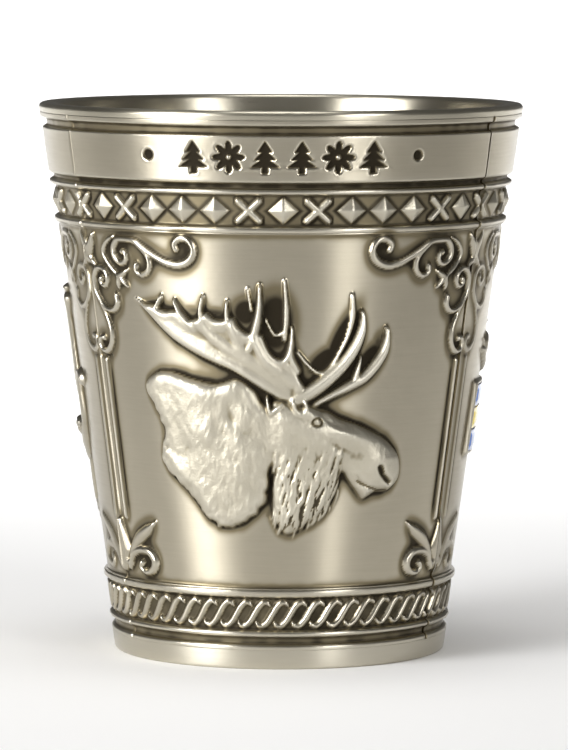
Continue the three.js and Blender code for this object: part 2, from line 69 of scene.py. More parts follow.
HEIGHT = CAD_BOX[1][2] / MM
CUP_LOW, CUP_HIGH = corners_mm("inner_cup")
SPIGOT_TOP = corners_mm("base_cap")[1][2]
PANEL_LOW, PANEL_HIGH = corners_mm("relief_panel_front")

LIP_OVERHANG = 0.1
SLOPE = 7.7 / 55.6  # the wall leans out this much for each millimetre up
RIM_RADIUS = CUP_HIGH[0] - LIP_OVERHANG
BASE_RADIUS = RIM_RADIUS - SLOPE * HEIGHT

PANEL_BOTTOM = PANEL_LOW[2]
PANEL_TOP = PANEL_HIGH[2]
PANEL_WALL = 1.35
CUP_GAP = 0.1
CUP_WALL = 0.45
CUP_CORNER = 3.0
CUP_BOTTOM = CUP_LOW[2]
BASE_CAP_HEIGHT = 1.9
SPIGOT_GAP = 0.1
SPIGOT_WALL = 1.1

PLINTH_TOP = 2.5
FOOT_GROOVE_TOP = 3.28
ROPE_BOTTOM = 3.9
ROPE_TOP = 7.3
FIELD_BOTTOM = 8.15
FIELD_TOP = HEIGHT - 12.02
LOZENGE_BOTTOM = HEIGHT - 11.32
LOZENGE_TOP = HEIGHT - 8.19
SMOOTH_GROOVE_BOTTOM = HEIGHT - 7.62
SMOOTH_BOTTOM = HEIGHT - 7.05
RIM_GROOVE_BOTTOM = HEIGHT - 2.32
BEAD_BOTTOM = HEIGHT - 1.5
FIELD_MIDDLE = (FIELD_BOTTOM + FIELD_TOP) / 2

GROUND_DEPTH = 0.4
BAND_DEPTH = 0.55
GROOVE_DEPTH = 0.5
HALF_PANEL = 60.0
SEAM_HALF_GAP = 0.008  # the fine dark line between two panels
PICTURE_TURN = 0.7  # degrees that each panel's pictures sit to the right of its middle
FAR = 99.0  # a distance beyond every ornament

RNG = np.random.default_rng(7)


def cone(z):
    return BASE_RADIUS + SLOPE * z


# ---- numbers on a grid


def smooth(low, high, value):
    share = np.clip((value - low) / (high - low), 0.0, 1.0)
    return share * share * (3.0 - 2.0 * share)


def blurred(field, cells):
    reach = int(3 * cells) + 1
    kernel = np.exp(-0.5 * (np.arange(-reach, reach + 1) / cells) ** 2)
    kernel /= kernel.sum()
    padded = np.pad(field, reach, mode="edge")
    rows = sum(k * padded[i : i + field.shape[0], :] for i, k in enumerate(kernel))
    return sum(k * rows[:, i : i + field.shape[1]] for i, k in enumerate(kernel))


def lattice_noise(x, z, seed):
    """Smooth value noise, one feature per unit, between -1 and 1."""
    table = np.random.default_rng(seed).uniform(-1.0, 1.0, (64, 64))
    column = np.floor(x).astype(int)
    row = np.floor(z).astype(int)
    across = smooth(0.0, 1.0, x - column)
    up = smooth(0.0, 1.0, z - row)
    left, right = column % 64, (column + 1) % 64
    low, high = row % 64, (row + 1) % 64
    bottom = table[low, left] * (1 - across) + table[low, right] * across
    top = table[high, left] * (1 - across) + table[high, right] * across
    return bottom * (1 - up) + top * up


def curved(points, per_span, closed=False):
    """Points along a smooth curve through given points."""
    points = np.array(points, float)
    if closed:
        padded = np.vstack([points[-1:], points, points[:2]])
    else:
        padded = np.vstack([2 * points[0] - points[1], points, 2 * points[-1] - points[-2]])
    t = np.arange(per_span)[:, None] / per_span
    spans = [
        0.5 * (2 * b + (c - a) * t + (2 * a - 5 * b + 4 * c - d) * t**2 + (3 * b - a - 3 * c + d) * t**3)
        for a, b, c, d in zip(padded[:-3], padded[1:-2], padded[2:-1], padded[3:])
    ]
    return np.vstack(spans if closed else [*spans, points[-1]])


def spiral(centre, start_radius, end_radius, start_angle, end_angle, count=14):
    """Points of a spiral; angles in degrees, anticlockwise from +x."""
    angles = np.radians(np.linspace(start_angle, end_angle, count))
    radii = np.linspace(start_radius, end_radius, count)
    return [(centre[0] + r * math.cos(a), centre[1] + r * math.sin(a)) for r, a in zip(radii, angles)]


def stroke(x, z, path, widths):
    """Distance from a tapered stroke's middle line as a share of its half width, at each point."""
    share = np.full(x.shape, 9.0)
    widths = np.interp(np.linspace(0, 1, len(path)), np.linspace(0, 1, len(widths)), widths)
    for (ax, az), (bx, bz), wa, wb in zip(path[:-1], path[1:], widths[:-1], widths[1:]):
        reach = 1.6 * max(wa, wb)
        near = (x > min(ax, bx) - reach) & (x < max(ax, bx) + reach)
        near &= (z > min(az, bz) - reach) & (z < max(az, bz) + reach)
        if not near.any():
            continue
        px, pz = x[near] - ax, z[near] - az
        dx, dz = bx - ax, bz - az
        t = np.clip((px * dx + pz * dz) / (dx * dx + dz * dz + 1e-9), 0.0, 1.0)
        distance = np.hypot(px - t * dx, pz - t * dz)
        share[near] = np.minimum(share[near], distance / (wa + (wb - wa) * t))
    return share


def ridge(x, z, path, widths, lift, power=0.5):
    """Height of a rounded rib along a stroke."""
    share = stroke(x, z, path, widths)
    return lift * np.clip(1.0 - share**2, 0.0, 1.0) ** power


def ribs(x, z, strokes, lift=0.5, power=0.5, per_span=0):
    """Highest of several ribs, each a path, its half widths and, where it has one, its own lift."""
    rise = np.zeros(x.shape)
    for path, widths, *own_lift in strokes:
        path = curved(path, per_span) if per_span else path
        rise = np.maximum(rise, ridge(x, z, path, widths, own_lift[0] if own_lift else lift, power))
    return rise


def depth_inside(x, z, outline):
    """Distance to an outline, positive inside it."""
    low, high = outline.min(axis=0) - 1.5, outline.max(axis=0) + 1.5
    near = (x > low[0]) & (x < high[0]) & (z > low[1]) & (z < high[1])
    px, pz = x[near], z[near]
    inside = np.zeros(px.shape, bool)
    distance = np.full(px.shape, 9.0)
    for (ax, az), (bx, bz) in zip(outline, np.roll(outline, -1, axis=0)):
        dx, dz = bx - ax, bz - az
        t = np.clip(((px - ax) * dx + (pz - az) * dz) / (dx * dx + dz * dz + 1e-9), 0.0, 1.0)
        distance = np.minimum(distance, np.hypot(px - ax - t * dx, pz - az - t * dz))
        crosses = (az > pz) != (bz > pz)
        inside ^= crosses & (px < ax + dx * (pz - az) / (dz if dz else 1e-9))
    result = np.full(x.shape, -9.0)
    result[near] = np.where(inside, distance, -distance)
    return result


def bump(x, z, centre, radii, lift, turn=0):
    """Height of a smooth oval swelling."""
    c, s = math.cos(math.radians(turn)), math.sin(math.radians(turn))
    px, pz = x - centre[0], z - centre[1]
    return lift * np.exp(-(((px * c + pz * s) / radii[0]) ** 2) - ((pz * c - px * s) / radii[1]) ** 2)


def swells(x, z, ovals):
    return sum(bump(x, z, *oval) for oval in ovals)


# ---- the panel's bands


def make_levels(step):
    """Heights of the grid's rows, and the two rows where the panel's mesh is divided."""
    edges = [PANEL_BOTTOM, FIELD_BOTTOM - 0.06, FIELD_TOP + 0.06, RIM_GROOVE_BOTTOM - 0.2, PANEL_TOP]
    finer = [0.72, 1.0, 0.7, 0.55]
    rows, divisions = [], []
    for low, high, share in zip(edges[:-1], edges[1:], finer):
        divisions.append(len(rows))
        count = max(1, round((high - low) / (step * share)))
        rows.extend(np.linspace(low, high, count, endpoint=False))
    rows.append(PANEL_TOP)
    return np.array(rows), divisions[1:3]


def between(z, low, high, soft):
    """1 from one level to another, with soft ends."""
    return smooth(low - soft, low + soft, z) - smooth(high - soft, high + soft, z)


def band_profile(z):
    """Offset of the plain bands from the cone: grooves, raised lines and recessed grounds."""
    soft, line_crown = 0.09, 0.06
    offset = LIP_OVERHANG * smooth(BEAD_BOTTOM - soft, BEAD_BOTTOM + soft, z)
    for low, high, depth in (
        (PLINTH_TOP, FOOT_GROOVE_TOP, GROOVE_DEPTH),
        (ROPE_BOTTOM, ROPE_TOP, BAND_DEPTH),
        (FIELD_BOTTOM, FIELD_TOP, GROUND_DEPTH),
        (LOZENGE_BOTTOM, LOZENGE_TOP, BAND_DEPTH),
        (SMOOTH_GROOVE_BOTTOM, SMOOTH_BOTTOM, GROOVE_DEPTH),
        (RIM_GROOVE_BOTTOM, BEAD_BOTTOM, GROOVE_DEPTH),
    ):
        offset -= depth * between(z, low, high, soft)
    for low, high in (
        (FOOT_GROOVE_TOP, ROPE_BOTTOM),
        (ROPE_TOP, FIELD_BOTTOM),
        (FIELD_TOP, LOZENGE_BOTTOM),
        (LOZENGE_TOP, SMOOTH_GROOVE_BOTTOM),
    ):
        middle, half = (low + high) / 2, (high - low) / 2
        offset += line_crown * np.clip(1.0 - ((z - middle) / half) ** 2, 0.0, 1.0)
    return offset


ROPE_STRANDS = 20
LOZENGE_PITCH = 2 * HALF_PANEL / 14
CROSS_PLACES = (-7, -5, -1, 1, 5, 7)


def rope(relief):
    """Slanting strands with a pointed hook at each end, like integral signs."""
    upper_half = [(0.0, 0.0), (0.46, 0.76), (0.96, 1.2), (1.38, 1.12), (1.6, 0.82)]
    path = curved([(-x, -z) for x, z in upper_half[:0:-1]] + upper_half, 3)
    widths = [0.12, 0.28, 0.34, 0.36, 0.36, 0.36, 0.34, 0.28, 0.12]
    z = relief.z - (ROPE_BOTTOM + ROPE_TOP) / 2
    near = np.abs(z) < (ROPE_TOP - ROPE_BOTTOM) / 2 + 0.1
    rise = np.zeros(z.shape)
    for i in range(-1, ROPE_STRANDS + 1):
        azimuth = -HALF_PANEL + (i + 0.5) * 2 * HALF_PANEL / ROPE_STRANDS
        x = np.where(near, relief.distance_from(azimuth), FAR)
        rise = np.maximum(rise, ridge(x, z, path, widths, 0.42, 0.6))
    relief.lay(rise, -BAND_DEPTH)


def lozenges(relief):
    """Faceted lozenges and diagonal crosses, each with a dark line round it."""
    z = relief.z - (LOZENGE_BOTTOM + LOZENGE_TOP) / 2
    band = np.abs(z) < (LOZENGE_TOP - LOZENGE_BOTTOM) / 2 + 0.1
    half_width, half_height, half_bar = 1.5, 1.4, 0.36
    rise = np.zeros(z.shape)
    line = np.full(z.shape, 9.0)
    for spot in range(-7, 8):
        x = np.where(band, relief.distance_from(spot * LOZENGE_PITCH), FAR)
        if spot in CROSS_PLACES:
            for slant in (-1, 1):
                bar = [(-1.06 * slant, -0.98), (1.06 * slant, 0.98)]
                share = stroke(x, z, bar, [half_bar, half_bar])
                rise = np.maximum(rise, 0.46 * np.clip(1 - share**2, 0, 1) ** 0.6)
                line = np.minimum(line, half_bar * (share - 1))
        else:
            depth = (1 - np.abs(x) / half_width - np.abs(z) / half_height) * 1.02
            rise = np.maximum(rise, 0.1 * smooth(0.0, 0.1, depth) + 0.52 * np.clip(depth, 0, 0.93))
            line = np.minimum(line, -depth)
    relief.lay(rise, -BAND_DEPTH)
    relief.tint = np.where(band, smooth(0.5, 0.12, line), relief.tint)
    relief.frost = np.maximum(relief.frost, 0.7 * smooth(0.04, 0.16, rise))


def star_depth(x, z, radius):
    """Inside of an eight-petalled star, positive inside."""
    angle = np.arctan2(z, x)
    reach = radius * (0.56 + 0.44 * np.abs(np.cos(4 * angle)) ** 1.5)
    return np.minimum(reach - np.hypot(x, z), np.hypot(x, z) - 0.22)


def fir_depth(x, z, radius):
    """Inside of a fir tree of three tiers, positive inside."""
    depth = np.full(x.shape, -9.0)
    for foot, top, half in ((-0.62, 0.05, 0.92), (-0.18, 0.5, 0.7), (0.28, 1.0, 0.48)):
        foot, top, half = foot * radius, top * radius, half * radius
        inside = np.minimum(z - foot, half * (top - z) / (top - foot) - np.abs(x))
        depth = np.maximum(depth, inside)
    trunk = np.minimum(0.2 * radius - np.abs(x), np.minimum(z + radius, -0.4 * radius - z))
    return np.maximum(depth, trunk)


def smooth_band_marks(relief):
    """Engraved row of small firs and stars between two dots, on the smooth band."""
    radius, pitch, dot_place, dot_radius = 1.62, 8.7, 33.6, 0.52
    z = relief.z - (HEIGHT - 4.5)
    cut = np.full(z.shape, -9.0)
    for i, shape in enumerate((fir_depth, star_depth, fir_depth, fir_depth, star_depth, fir_depth)):
        cut = np.maximum(cut, shape(relief.distance_from((i - 2.5) * pitch), z, radius))
    for azimuth in (-dot_place, dot_place):
        cut = np.maximum(cut, dot_radius - np.hypot(relief.distance_from(azimuth), z - 0.1))
    depth = smooth(-0.06, 0.1, cut)
    relief.height += 0.035 * np.exp(-((cut + 0.13) / 0.1) ** 2) - 0.28 * depth
    relief.darken(depth)


# ---- corner ornaments
# Points are (distance from the seam, drop below the top of the field) for the scrolls, and
# (distance from the seam, rise above the bottom of the field) for the lilies.

ORNAMENT_LIFT = 0.48
ROD_FROM_SEAM = 1.15


def halo(rise, strength):
    """Patina and painted shade on the ground close around a raised ornament, darkest between its strokes.
    """
    around_it = 2.5 * blurred(np.clip(rise / 0.2, 0, 1), 4.6)
    return strength * np.clip(around_it, 0, 1) * smooth(0.22, 0.05, rise)


def scroll_strokes():
    """Middle line and half widths of each stroke of the corner scrollwork."""
    upper = [(x, 4.8 - y) for x, y in spiral((5.7, 2.4), 0.25, 1.5, 80, -265, 16)]
    upper += [(7.5, 1), (8.5, 1.6), (9.6, 2.3), (11.1, 3), (12.5, 3.2), (13.7, 2.7), (14.3, 1.7),
              (13.9, 0.75), (13, 0.55), (12.3, 1.1), (12.4, 1.7)]
    lower = [(x, 10.2 - y) for x, y in spiral((2.2, 5.1), 0.2, 1.45, -210, 185, 16)]
    lower += [(0.8, 6.3), (1.3, 7.1), (1.9, 7.7), (2.7, 8.1), (3.6, 8), (4.2, 7.4), (4.15, 6.6)]
    return [
        (upper, [0.34, 0.3, 0.3, 0.32, 0.42, 0.38, 0.36, 0.4, 0.44, 0.4, 0.34]),
        (lower, [0.34, 0.28, 0.28, 0.34, 0.34, 0.3, 0.4]),
        ([(7.5, 1.1), (8.1, 1.6), (8.8, 2.2), (9.15, 3), (8.9, 3.9), (8.1, 4.35), (7.4, 4.05),
          (7.45, 3.4)], [0.16, 0.3, 0.34, 0.3, 0.36]),
        ([(4.7, 0.7), (3.8, 1.1), (3.05, 1.9), (3, 2.7), (3.5, 3.4), (4.2, 4.1), (4.9, 4.6)],
         [0.12, 0.24, 0.3, 0.26, 0.3, 0.16]),
        ([(1.5, 7.5), (2.1, 8.5), (2.6, 9.5), (2.75, 10.6), (2.4, 11.6), (1.6, 12.25), (0.8, 12.2),
          (0.4, 11.6), (0.7, 11), (1.2, 11)], [0.14, 0.3, 0.36, 0.3, 0.34]),
        ([(4.7, 4.6), (5.4, 4.4), (6.3, 3.9)], [0.16, 0.4, 0.08]),
        ([(4.7, 4.6), (5.3, 5), (6, 5.7)], [0.16, 0.42, 0.08]),
        ([(4.8, 4.7), (4.7, 5.3), (4.7, 5.9)], [0.16, 0.34, 0.08]),
    ]


CORNER_BUD = [
    ([(0, 2.6), (0.9, 1.4), (1.35, 0.5)], [0.8, 0.45, 0.12]),
    ([(0, 2.9), (0, 1.2)], [0.7, 0.12]),
    ([(0, 2.9), (0.8, 3.4), (1.5, 3.9)], [0.6, 0.35, 0.1]),
]


def scrolls(relief):
    """Scrollwork of both upper corners, mirrored about the panel's middle, and the rod below it."""
    s, d = relief.from_corner, FIELD_TOP - relief.z
    rod_top, rod_foot = 13.1, FIELD_TOP - FIELD_BOTTOM - 6.3
    rod = [(ROD_FROM_SEAM, rod_top), (ROD_FROM_SEAM, rod_foot)]
    rise = ribs(s, d, scroll_strokes(), ORNAMENT_LIFT, 0.75, 4)
    rise = np.maximum(rise, ribs(s, d, CORNER_BUD, ORNAMENT_LIFT * 0.9))
    rise = np.maximum(rise, ridge(s, d, rod, [0.26, 0.26], 0.36, 0.7))
    relief.lay(rise * relief.crispness, -GROUND_DEPTH)
    # Patina and painted shade on the ground round the scrolls.
    relief.darken(halo(rise, 0.95))
    relief.height -= ridge(s, d, [(0, 12.75), (2, 12.75)], [0.12, 0.12], 0.2)
    # Painted shadow beside the rod: a soft dark band on its inner side and a narrower one on its seam side.
    beside = smooth(rod_top - 0.6, rod_top + 1.5, d) * smooth(rod_foot + 0.3, rod_foot - 1.5, d)
    off, edge = s - ROD_FROM_SEAM, 0.42
    shadow = np.exp(-((off - edge) / 0.2) ** 2) + 0.7 * np.exp(-((off + edge) / 0.12) ** 2)
    shadow += 0.5 * np.exp(-np.clip(off - edge, 0, 9) / 0.5) * (off > 0.4)
    relief.darken(np.clip(0.85 * shadow, 0, 1) * beside)


def lilies(relief):
    """Half a lily at each lower corner; its middle petal lies on the seam."""
    s, r = relief.from_corner, relief.z - FIELD_BOTTOM
    petal = curved([(1.2, 1.5), (1.7, 2.8), (2.9, 4.3), (4.4, 5.3), (5.7, 6.2)], 4)
    volute = curved([(1, 1.2), (1.7, 2.5), (3, 3.15), (4.3, 3.05), (5, 2.2), (4.6, 1.3), (3.6, 0.95),
                     (2.9, 1.35), (3.1, 1.9)], 4)
    volute_widths = [0.25, 0.3, 0.42, 0.5, 0.52, 0.45, 0.34, 0.3, 0.34]
    rise = np.maximum.reduce([
        ridge(s, r, [(0, 1.2), (0.25, 3), (0, 5.9)], [0.5, 1.15, 0.35], ORNAMENT_LIFT, 0.7),
        ridge(s, r, petal, [0.2, 0.55, 0.75, 0.62, 0.06], ORNAMENT_LIFT, 0.8),
        ridge(s, r, volute, volute_widths, ORNAMENT_LIFT * 1.1),
        ridge(s, r, [(0, 1.7), (1.3, 1.7)], [0.36, 0.36], ORNAMENT_LIFT),
    ])
    relief.lay(rise * relief.crispness, -GROUND_DEPTH)
    # Patina and painted shade on the ground round the lily.
    relief.darken(halo(rise, 0.9))


# ---- moose head
# Points are (x, z) from the middle of the picture field; x is square to the line of sight.

PALM = [(-14.85, 11.1), (-13.5, 9.9), (-12.3, 8.6), (-10.7, 7.1), (-8.6, 5.8), (-6.5, 4.8), (-5, 4.2),
        (-3.4, 3.2), (-1.5, 2), (-0.1, 1.2), (1.6, 1), (2.8, 1.9), (2, 3.1), (1, 4.6), (0.5, 5.6),
        (-0.4, 5.3), (-1.3, 5.7), (-2, 7.2), (-2.7, 8.8), (-3.3, 8), (-4.2, 8.5), (-4.9, 9.5), (-5.7, 9.3),
        (-6.6, 9.3), (-7.5, 9.9), (-8.3, 9.4), (-9.4, 9.2), (-10.3, 10), (-11.6, 10), (-12.6, 10.5),
        (-13.8, 10.6)]
FRONT_TINES = [
    ([(-12.6, 9.9), (-12.2, 10.6), (-12, 11.4)], [0.3, 0.22, 0.08]),
    ([(-8.7, 8.3), (-9.9, 9.6), (-10.7, 11)], [0.4, 0.3, 0.1]),
    ([(-7.2, 8), (-8, 9.6), (-7.9, 11.5)], [0.45, 0.32, 0.1]),
    ([(-4.6, 7.6), (-5.4, 9.2), (-5.5, 11)], [0.45, 0.34, 0.12]),
    ([(-3.2, 6.4), (-2.6, 8.6), (-2.3, 10.6), (-2.3, 12.6)], [0.6, 0.5, 0.36, 0.18]),
    ([(-2.2, 7.6), (-1.5, 6), (-0.6, 5.2), (0.3, 5.3), (0.8, 6.6), (0.9, 8.6)],
     [0.3, 0.32, 0.36, 0.4, 0.36, 0.12]),
    ([(1.4, 4.2), (0.8, 5.6), (0.8, 7)], [0.5, 0.42, 0.3]),
]
BACK_TINES = [
    ([(-3.5, 12.3), (-3.1, 10.2)], [0.1, 0.2]),
    ([(0.2, 7.4), (0.35, 10), (0.15, 13.15)], [0.32, 0.36, 0.14]),
    ([(-1.7, 9.3), (-0.8, 7.8), (0.1, 8)], [0.1, 0.16, 0.2]),
    ([(1.4, 6.1), (2.4, 4.9), (3.5, 4), (4.4, 4.3), (5.4, 5.6), (6.4, 7.6), (6.9, 9.6), (6.9, 11.65)],
     [0.1, 0.16, 0.2, 0.2, 0.2, 0.24, 0.34, 0.16]),
]
BEAMS = [
    ([(3.1, 0.9), (4.8, 1.8), (6.4, 2.6), (8, 3.5), (9.3, 4.9), (10.1, 6.4), (10.3, 8.3)],
     [0.4, 0.42, 0.55, 0.6, 0.55, 0.42, 0.14], 0.85),
    ([(7, 2.9), (7.35, 4.3), (7.7, 5.7)], [0.4, 0.3, 0.08], 0.8),
    ([(1.2, 1.2), (2.6, 2), (4.1, 3.1), (5.7, 4.6), (7, 6.4), (7.7, 8.2), (7.8, 10)],
     [1, 0.85, 0.78, 0.7, 0.6, 0.42, 0.15], 1.15),
]
PALM_RIBS = [
    ([(1, 1.8), (-2.4, 3.6), (-6.6, 5.8), (-10.4, 8.2), (-13.4, 10.9)], 0.8, 0.1),
    ([(0.6, 2.6), (-2.6, 4.8), (-5.6, 6.6), (-8.2, 8.8)], 0.9, 0.2),
    ([(0.8, 3), (-1.4, 4.8), (-2.8, 7.2)], 0.8, 0.26),
    ([(1.4, 2.2), (1.5, 3.6), (0.9, 4.8)], 0.7, 0.22),
    ([(-2, 4.6), (-4, 6.2), (-5, 8.6)], 0.8, 0.16),
]
NECK = [(-13.3, 3), (-12.2, 3.8), (-10.9, 3.9), (-8.8, 3.3), (-6.4, 2.9), (-4.4, 3.5), (-2.7, 2.4),
        (-1.6, 1), (1.6, 1), (3, -2), (1, -5.4), (-1, -5.6), (-1.25, -7.4), (-1.5, -9), (-3.5, -10.8),
        (-5.6, -11.6), (-6.9, -10.9), (-8, -9.9), (-8.8, -8.4), (-11, -6.3), (-11.7, -4.8), (-11.6, -2.3),
        (-12.3, -0.2), (-13.4, 1.8)]
HEAD = [(-1.3, 1), (0.4, 1.5), (1.7, 1.3), (2.8, 1.4), (3.8, 0.7), (5.8, -0.5), (7.7, -1.3),
        (9.6, -2.3), (11.1, -3.8), (11.7, -5.5), (11.45, -7.1), (10.4, -8.1), (9.2, -8.15), (8.6, -8.5),
        (7.9, -8.8), (7.3, -8.1), (6.6, -7), (5.9, -6.1), (5.6, -7), (4.6, -9.3), (2.7, -11), (0.6, -12.2),
        (-0.5, -11), (-1, -8.6), (-1.1, -6), (-1.8, -3)]


def tufts(x, z, count, span, flow, length, lift):
    """Short tapered tufts scattered over a span and laid along a flow, given in degrees."""
    rise = np.zeros(x.shape)
    for _ in range(count):
        start = np.array([RNG.uniform(*span[0]), RNG.uniform(*span[1])])
        angle = math.radians(flow(start) + RNG.uniform(-16, 16))
        end = start + RNG.uniform(0.7, 1.4) * length * np.array([math.cos(angle), math.sin(angle)])
        middle = (start + end) / 2 + RNG.uniform(-0.12, 0.12, 2) * length
        width = RNG.uniform(0.1, 0.17)
        height = lift * RNG.uniform(0.4, 1.0)
        tuft = ridge(x, z, [start, middle, end], [width * 0.5, width, 0.05], height, 1.0)
        rise = np.maximum(rise, tuft)
    return rise


def dome(inside, width):
    """Rounded shoulder: 0 at an outline and 1 at a width inside it."""
    return np.sqrt(np.clip(1 - (1 - np.clip(inside / width, 0, 1)) ** 2, 0, 1))


NECK_SWELLS = (
    ((-7.6, -1.2), (2.4, 5.6), 0.3, 14),
    ((-3.6, -5.8), (2.2, 3.6), 0.18),
    ((-11, 1.2), (1.3, 2.2), 0.12),
    ((-4.6, 0.4), (0.9, 2.8), -0.14, -14),
    ((-9.8, -1.6), (0.7, 3), -0.1, 8),
)


def neck_shape(x, z, inside):
    """Swells and coat of the neck, above its rounded body."""
    rise = swells(x, z, NECK_SWELLS)
    rise += 0.11 * lattice_noise(x * 0.75 + z * 0.3, z * 0.5, 11)
    rise += 0.04 * lattice_noise(x * 1.8 + z * 0.5, z * 1.1, 12)
    rise += 0.014 * lattice_noise(x * 4.6, z * 3.4, 13)
    coat = tufts(x, z, 620, ((-13.5, 1), (-11.8, 3.8)), lambda p: -104 + 4.5 * (p[0] + 6), 0.9, 0.05)
    return rise + coat * smooth(0.05, 0.5, inside)


EYE = (3.25, -0.8)
NOSTRIL = [(9.2, -5.5), (9.35, -6.1), (9.8, -6.7), (10.25, -7.05)]
NOSTRIL_WING = [(9.8, -7.25), (10.25, -7.55), (10.6, -7.2), (10.3, -6.8)]
MOUTH = [(7.2, -6.85), (8.1, -7.4), (9.2, -7.85), (10.5, -8.0)]
EYELIDS = [
    ([(2.4, -0.95), (2.95, -0.4), (3.6, -0.45), (4.2, -1)], [0.08, 0.19, 0.08]),
    ([(2.6, -1.15), (3.2, -1.4), (3.95, -1.2)], [0.08, 0.19, 0.08]),
]
# Cheek, muzzle, bridge, brow and chin, then hollows before the cheek, along the face and at the eye.
FACE_SWELLS = (
    ((3.6, -2.4), (3, 1.5), 0.4, -24),
    ((9.4, -5.2), (1.7, 2), 0.4),
    ((5.9, -1.9), (2.2, 0.5), 0.32, -26),
    ((2.6, 0), (1, 0.45), 0.3, -30),
    ((8.3, -7.9), (1.1, 0.5), 0.16, -10),
    ((6.9, -4.4), (1.2, 1.3), -0.34),
    ((5.2, -3.3), (1.7, 0.4), -0.22, -32),
    ((4.9, -1.1), (1.3, 0.3), -0.18, -28),
    (EYE, (0.6, 0.48), -0.4),
)


def face_shape(x, z):
    """Brow, cheek, muzzle and the fine lines of the face."""
    rise = swells(x, z, FACE_SWELLS)
    rise += 0.3 * np.sqrt(np.clip(1 - ((x - EYE[0]) / 0.34) ** 2 - ((z - EYE[1]) / 0.3) ** 2, 0, 1))
    for path, widths in EYELIDS:
        rise += ridge(x, z, curved(path, 4), widths, 0.14, 1.0)
    rise += ridge(x, z, curved(NOSTRIL_WING, 4), [0.1, 0.16], 0.16, 1.0)
    rise -= ridge(x, z, curved(NOSTRIL, 4), [0.34, 0.22, 0.24], 0.5, 0.8)
    rise -= ridge(x, z, curved(MOUTH, 4), [0.1, 0.16, 0.12], 0.34, 0.8)
    for i in range(4):
        top, foot = (5.7 + 0.42 * i, -5.7 - 0.15 * i), (6.4 + 0.4 * i, -7.1 - 0.1 * i)
        fold = curved([top, (5.9 + 0.45 * i, -6.4), foot], 4)
        rise -= ridge(x, z, fold, [0.06, 0.13, 0.06], 0.2, 1.0)
    rise += 0.03 * lattice_noise(x * 1.7, z * 1.7, 21)
    return rise + 0.025 * lattice_noise(x * 4.4, z * 4.4, 22)


def beard_strands(x, z):
    """Long locks of the beard, the outer ones running out past its edge."""
    rise = np.zeros(x.shape)
    for _ in range(170):
        share = RNG.uniform(0, 1)
        start = np.array([-0.9 + 6.6 * share, RNG.uniform(-9.9, -2.6)])
        length = RNG.uniform(1.6, 3.4)
        lean = -0.16 - 0.2 * share + RNG.uniform(-0.16, 0.16)
        end = start + np.array([lean * length, -length])
        bend = (start + end) / 2 + np.array([0.2 + RNG.uniform(-0.2, 0.2), 0.0])
        lock = curved([start, bend, end], 4)
        height = RNG.uniform(0.14, 0.36)
        rise = np.maximum(rise, ridge(x, z, lock, [0.06, 0.17, 0.18, 0.04], height, 0.8))
    return rise


def animal_height(x, z):
    """Neck and head as one rounded body, with the beard parted from the neck at its foot."""
    neck = depth_inside(x, z, curved(NECK, 4, closed=True))
    neck += 0.2 * lattice_noise(x * 1.9, z * 1.9, 3) * smooth(-2, -6, z + x * 0.35)
    head = depth_inside(x, z, curved(HEAD, 4, closed=True))
    body = np.maximum(neck, head)
    on_head = smooth(-0.2, 1.6, head)
    detail = neck_shape(x, z, neck) * (1 - on_head) + face_shape(x, z) * smooth(0, 0.7, head)
    hair = smooth(-2.6, -6.2, z - 0.12 * x) * smooth(6.4, 5.2, x) * smooth(-1.4, -0.8, x)
    strands = beard_strands(x, z)
    rise = 0.92 * dome(body, 1.25) + 0.34 * smooth(0.0, 2.2, head)
    rise += np.where(body > 0, detail + (strands - 0.16) * hair, 0)
    between_locks = smooth(0.1, 0.02, strands) * smooth(0.04, 0.1, blurred(strands, 3.0))
    gaps = np.where(body > 0.1, between_locks * hair**2, 0.0)
    rise = np.maximum(rise, 1.8 * strands * smooth(-0.6, -0.1, body) * (z < -5.5))
    cheek = tufts(x, z, 160, ((-1.6, 6), (-4.6, 0.6)), lambda p: -60 - 8 * p[0], 0.9, 0.05)
    rise += cheek * smooth(0.3, 0.9, head)
    cleft = ridge(x, z, [(-0.85, -6.0), (-1.1, -7.6), (-1.3, -10.2)], [0.05, 0.2, 0.34], 0.8, 0.8)
    animal = np.maximum(np.where(rise > 0, rise - cleft, 0.0), 0.0)
    return animal, np.maximum(0.8 * cleft, 0.75 * gaps)


def antler_height(x, z):
    """The broad palm with its ribs, the tines before and behind it, and the beams."""
    inside = depth_inside(x, z, curved(PALM, 4, closed=True))
    grain = 0.02 * lattice_noise(x * 1.6, z * 1.6, 31)
    palm_ribs = [(path, [width, width * 0.8, width * 0.5], lift) for path, width, lift in PALM_RIBS]
    palm = 0.8 * dome(inside, 0.45) - 0.2 * smooth(0.35, 1.5, inside)
    palm += (ribs(x, z, palm_ribs, power=1.0, per_span=5) + grain) * (inside > 0)
    return np.maximum.reduce([
        palm,
        ribs(x, z, FRONT_TINES, 0.85, 0.7, 5),
        ribs(x, z, BEAMS, power=0.6, per_span=5),
        ribs(x, z, BACK_TINES, 0.5, 0.7, 5),
    ])


# Dark patina left behind the antlers: middle, half widths, turn and strength.
BEHIND_ANTLERS = (
    ((-0.7, 9.0), (1.7, 2.7), 0, 2.0),
    ((-3.6, 10), (1.4, 1.4), 0, 1.5),
    ((-7, 9.9), (3.6, 0.6), -4, 0.9),
    ((5.9, 7.4), (0.9, 3.2), -26, 1.7),
    ((8.4, 5.2), (2.2, 0.8), 52, 1.5),
    ((4.8, 2.6), (2.4, 0.5), 36, 1.6),
    ((4.0, 5.2), (2.0, 0.9), 40, 1.6),
    ((9.5, 6.8), (0.6, 1.4), -15, 0.8),
)
MOOSE_SCALE = 0.985
EARS = [
    ([(-1.5, 1.7), (-1.35, 0.6), (-1.2, 0.1)], [0.12, 0.2, 0.16], 1.4),
    ([(-1.2, 0), (-0.6, 0.5), (0, 1)], [0.16, 0.22, 0.14], 1.4),
    ([(1, 1.1), (1.3, 0.3), (1.9, -0.1), (2.3, 0.5), (2.1, 1.2)], [0.3, 0.36, 0.4, 0.36, 0.3], 1.5),
]


